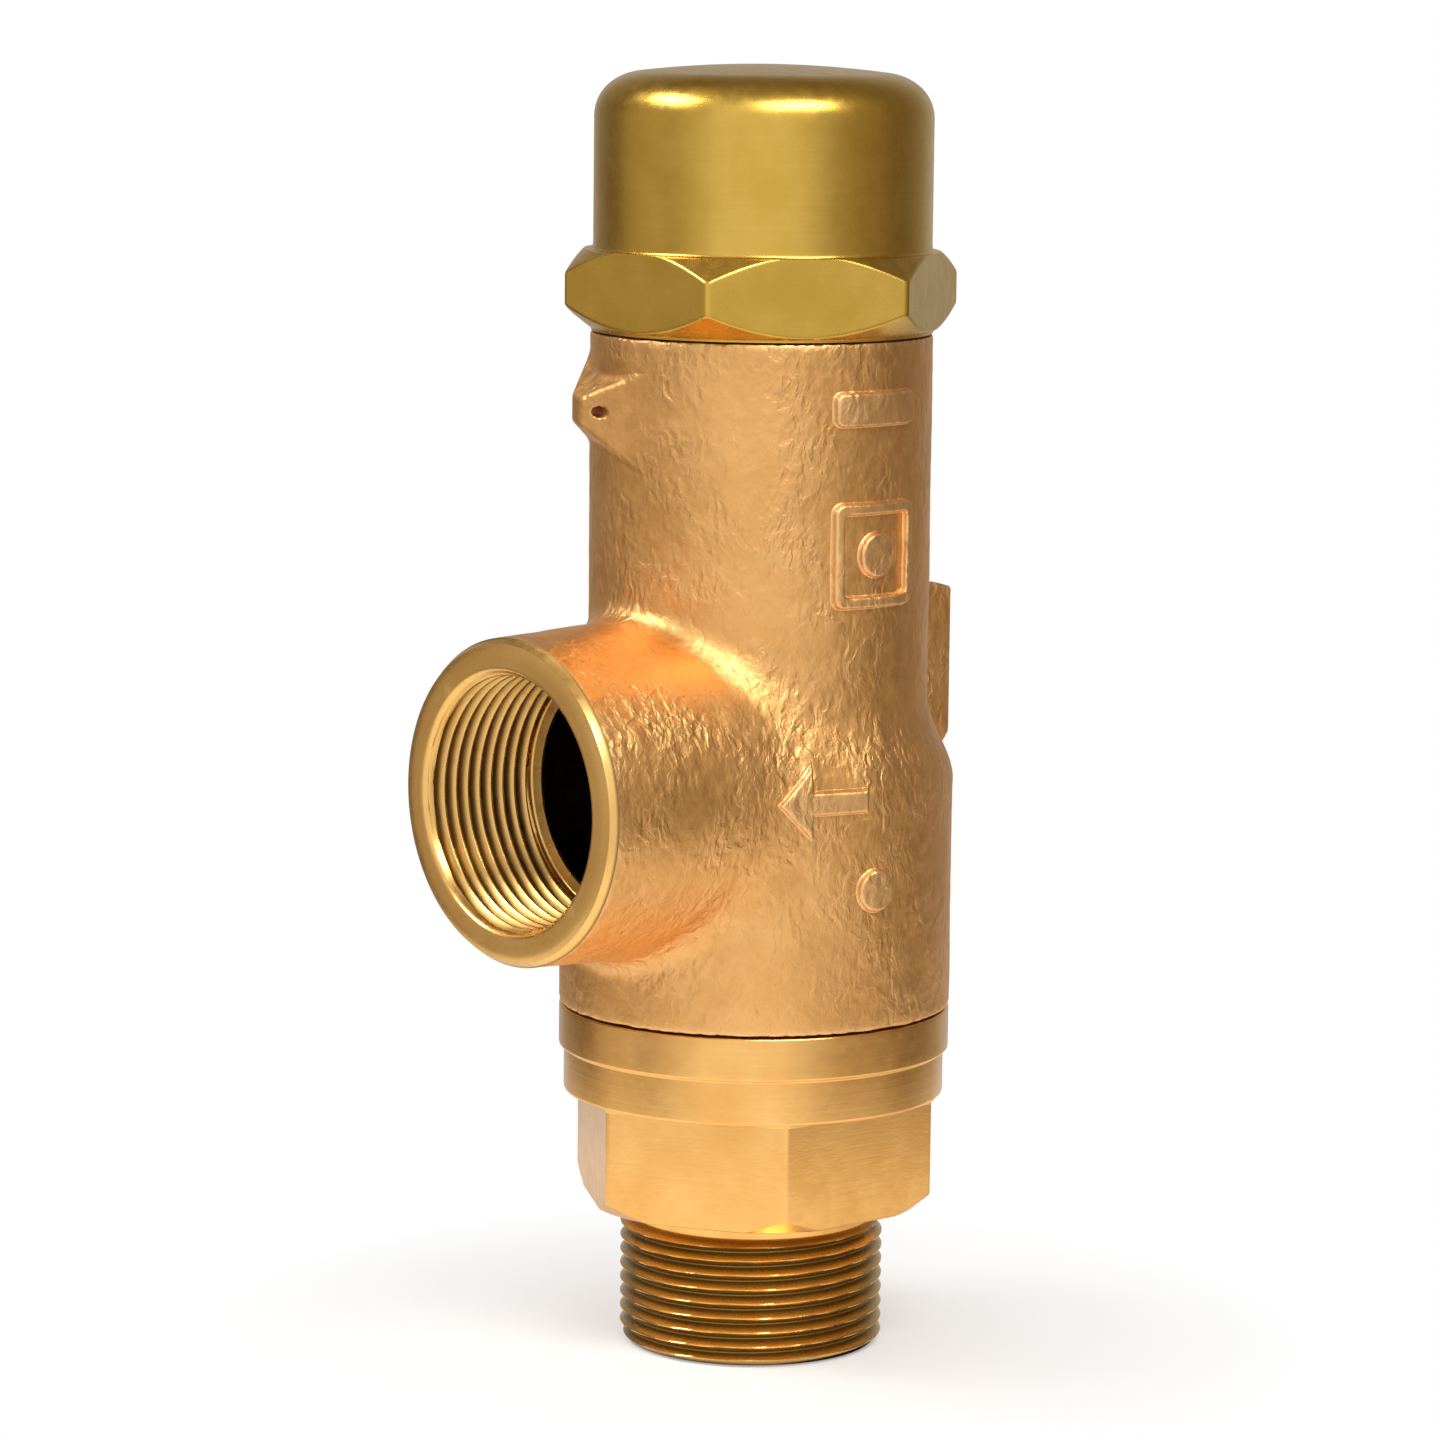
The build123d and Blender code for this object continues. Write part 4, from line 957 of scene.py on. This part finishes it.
plastic = plain("seat_plastic", (0.80, 0.79, 0.75), (0.72, 0.71, 0.66), 0.0, 0.4, 0.5, 0.8, 0.02)
fibre = plain("gasket_fibre", (0.10, 0.062, 0.040), (0.055, 0.034, 0.024), 0.0, 0.75, 0.9, 0.5, 0.06)

MATERIALS = {
    "inner_brass": inner_metal,
    "bush_bronze": bush_metal,
    "stainless_steel": steel,
    "spring_steel": dark_steel,
    "seal_rubber": rubber,
    "seat_plastic": plastic,
    "gasket_fibre": fibre,
}


def paint_with(piece, material):
    piece.data.materials.clear()
    piece.data.materials.append(material)


slots = {part["node"]: part["material_slot"] for part in frame["record"]["subparts"]}
for node, piece in frame["nodes"].items():
    if slots[node] in MATERIALS:
        paint_with(piece, MATERIALS[slots[node]])

for piece in body_pieces:
    paint_with(piece, bronze)
    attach(piece, "body")
    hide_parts("valve_body")
# The raised marks take the lighter copy: rubbed wear and a painted highlight.
for piece in mark_pieces:
    paint_with(piece, rubbed_highlit_bronze)
paint_with(rim, rim_metal)
paint_with(neck, inner_metal)
for piece, node, body, material in (
    (nozzle, "inlet_nozzle", "body", nozzle_metal),
    (cap, "cap", "cap_shell", cap_metal),
    (screw, "adjusting_screw", "adjuster", inner_metal),
    (coil, "spring", "body", dark_steel),
):
    paint_with(piece, material)
    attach(piece, body)
    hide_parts(node)
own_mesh(coil)


# ---------------------------------------------------------------- studio

def make_floor():
    """A pale round floor that fades into the background. Reflections see the room through its outer part."""
    bpy.ops.mesh.primitive_circle_add(vertices=96, radius=0.9, fill_type="NGON", location=(0, 0, -0.0002))
    floor = bpy.context.object
    floor.name = "floor"
    paint = Paint("floor")
    distance = paint.axis_distance("z")
    seen = paint.add("ShaderNodeLightPath").outputs["Is Camera Ray"]
    fade = paint.math("MULTIPLY", paint.range(distance, 0.02, 0.09, 0.35, 1.0), seen)
    unseen = paint.math("SUBTRACT", 1.0, seen)
    opening = paint.math("MULTIPLY", paint.range(distance, 0.13, 0.25, 0.0, 1.0), unseen)
    tint = paint.mix(paint.noise(60, 2), colour(0.95, 0.95, 0.95), colour(0.97, 0.97, 0.97))
    paint.set(Base_Color=tint, Roughness=0.7)
    glow = paint.add("ShaderNodeEmission", {"Color": colour(1, 1, 1), "Strength": 1.0}).outputs[0]
    clear = paint.add("ShaderNodeBsdfTransparent").outputs[0]
    mixed = paint.add("ShaderNodeMixShader", {0: fade, 1: paint.shader.outputs[0], 2: glow}).outputs[0]
    mixed = paint.add("ShaderNodeMixShader", {0: opening, 1: mixed, 2: clear}).outputs[0]
    output = paint.tree.nodes["Material Output"]
    paint.tree.links.new(mixed, output.inputs["Surface"])
    paint_with(floor, paint.material)


AZIMUTH = math.radians(48.5)
ELEVATION = math.radians(8.26)
TARGET = Vector((0, 0, 0.1))
outward = Vector((
    math.sin(AZIMUTH) * math.cos(ELEVATION), -math.cos(AZIMUTH) * math.cos(ELEVATION), math.sin(ELEVATION)))
right = Vector((math.cos(AZIMUTH), math.sin(AZIMUTH), 0))
front = Vector((math.sin(AZIMUTH), -math.cos(AZIMUTH), 0))
CAMERA_DISTANCE = 0.8583
CAMERA_LENS = 136.1
CAMERA_SHIFT_X = -0.0273
ROLL = Quaternion((0, 0, 1), math.radians(0.69))
ROOM_STRENGTH = 0.95
# Light of the room from its back to its front: place, level, and blue's share (1 neutral, less warmer)
ROOM_LEVELS = (
    (0.0, 0.60, 1.0), (0.10, 0.34, 0.85), (0.28, 0.14, 0.55), (0.46, 0.29, 0.60),
    (0.60, 0.36, 0.70), (0.78, 0.46, 0.84), (0.92, 0.88, 0.98), (1.0, 1.42, 1.0))
ROOM_FRONT = (front - right * 0.12 + Vector((0, 0, 0.10))).normalized()


def make_light(name, place, size, power, tint=(1, 1, 1), size_y=None):
    """A soft rectangular light that faces the valve."""
    data = bpy.data.lights.new(name, "AREA")
    data.shape = "RECTANGLE"
    data.size = size
    data.size_y = size_y or size
    data.energy = power
    data.color = tint
    light = bpy.data.objects.new(name, data)
    light.location = place
    light.rotation_euler = (TARGET - place).to_track_quat("-Z", "Y").to_euler()
    light.visible_camera = False
    bpy.context.scene.collection.objects.link(light)


def make_world():
    """A plain bright background, and for the lighting a softer room, darker at its sides."""
    world = bpy.data.worlds.new("studio")
    bpy.context.scene.world = world
    world.use_nodes = True
    tree = world.node_tree
    tree.nodes.clear()

    def add(kind, inputs=(), **settings):
        return add_node(tree, kind, inputs, **settings)

    direction = add("ShaderNodeTexCoord").outputs["Generated"]
    toward = add("ShaderNodeVectorMath", {
        0: direction, 1: ROOM_FRONT}, operation="DOT_PRODUCT").outputs["Value"]
    share = add("ShaderNodeMapRange", {"Value": toward, "From Min": -1.0, "From Max": 1.0}).outputs[0]
    ramp = add("ShaderNodeValToRGB", {0: share})
    stops = ramp.color_ramp
    stops.interpolation = "B_SPLINE"
    while len(stops.elements) < len(ROOM_LEVELS):
        stops.elements.new(0.5)
    for element, (position, level, blue) in zip(stops.elements, ROOM_LEVELS):
        element.position = position
        element.color = colour(level, level * (1 + blue) / 2, level * blue)
    aside = add("ShaderNodeVectorMath", {0: direction, 1: -right}, operation="DOT_PRODUCT").outputs["Value"]
    strip = add("ShaderNodeMapRange", {
        "Value": aside, "From Min": 0.88, "From Max": 0.99, "To Min": 0.0, "To Max": 0.20},
        interpolation_type="SMOOTHSTEP").outputs[0]
    lit = add("ShaderNodeVectorMath", {0: ramp.outputs[0], 1: strip}, operation="ADD").outputs[0]
    room = add("ShaderNodeBackground", {"Color": lit, "Strength": ROOM_STRENGTH}).outputs[0]
    plain_back = add("ShaderNodeBackground", {"Color": colour(1, 1, 1), "Strength": 1.0}).outputs[0]
    seen = add("ShaderNodeLightPath").outputs["Is Camera Ray"]
    both = add("ShaderNodeMixShader", {0: seen, 1: room, 2: plain_back}).outputs[0]
    add("ShaderNodeOutputWorld", {"Surface": both})


make_floor()
make_world()
left_place = TARGET + front * 0.10 - right * 0.66 + Vector((0, 0, 0.72))
right_place = TARGET + front * 0.60 + right * 0.30 + Vector((0, 0, 0.74))
make_light("left", left_place, 0.42, 5.0, size_y=0.26)
make_light("right", right_place, 0.60, 6.4, (1.0, 0.99, 0.97), 0.30)

camera_data = bpy.data.cameras.new("camera")
camera_data.lens = CAMERA_LENS
camera_data.sensor_width = 36.0
camera_data.shift_x = CAMERA_SHIFT_X
camera_data.clip_start = 0.01
camera_data.clip_end = 50.0
camera = bpy.data.objects.new("camera", camera_data)
camera.location = TARGET + outward * CAMERA_DISTANCE
camera.rotation_mode = "QUATERNION"
camera.rotation_quaternion = (TARGET - camera.location).to_track_quat("-Z", "Y") @ ROLL
bpy.context.scene.collection.objects.link(camera)
bpy.context.scene.camera = camera
bpy.context.scene.view_settings.view_transform = "Standard"
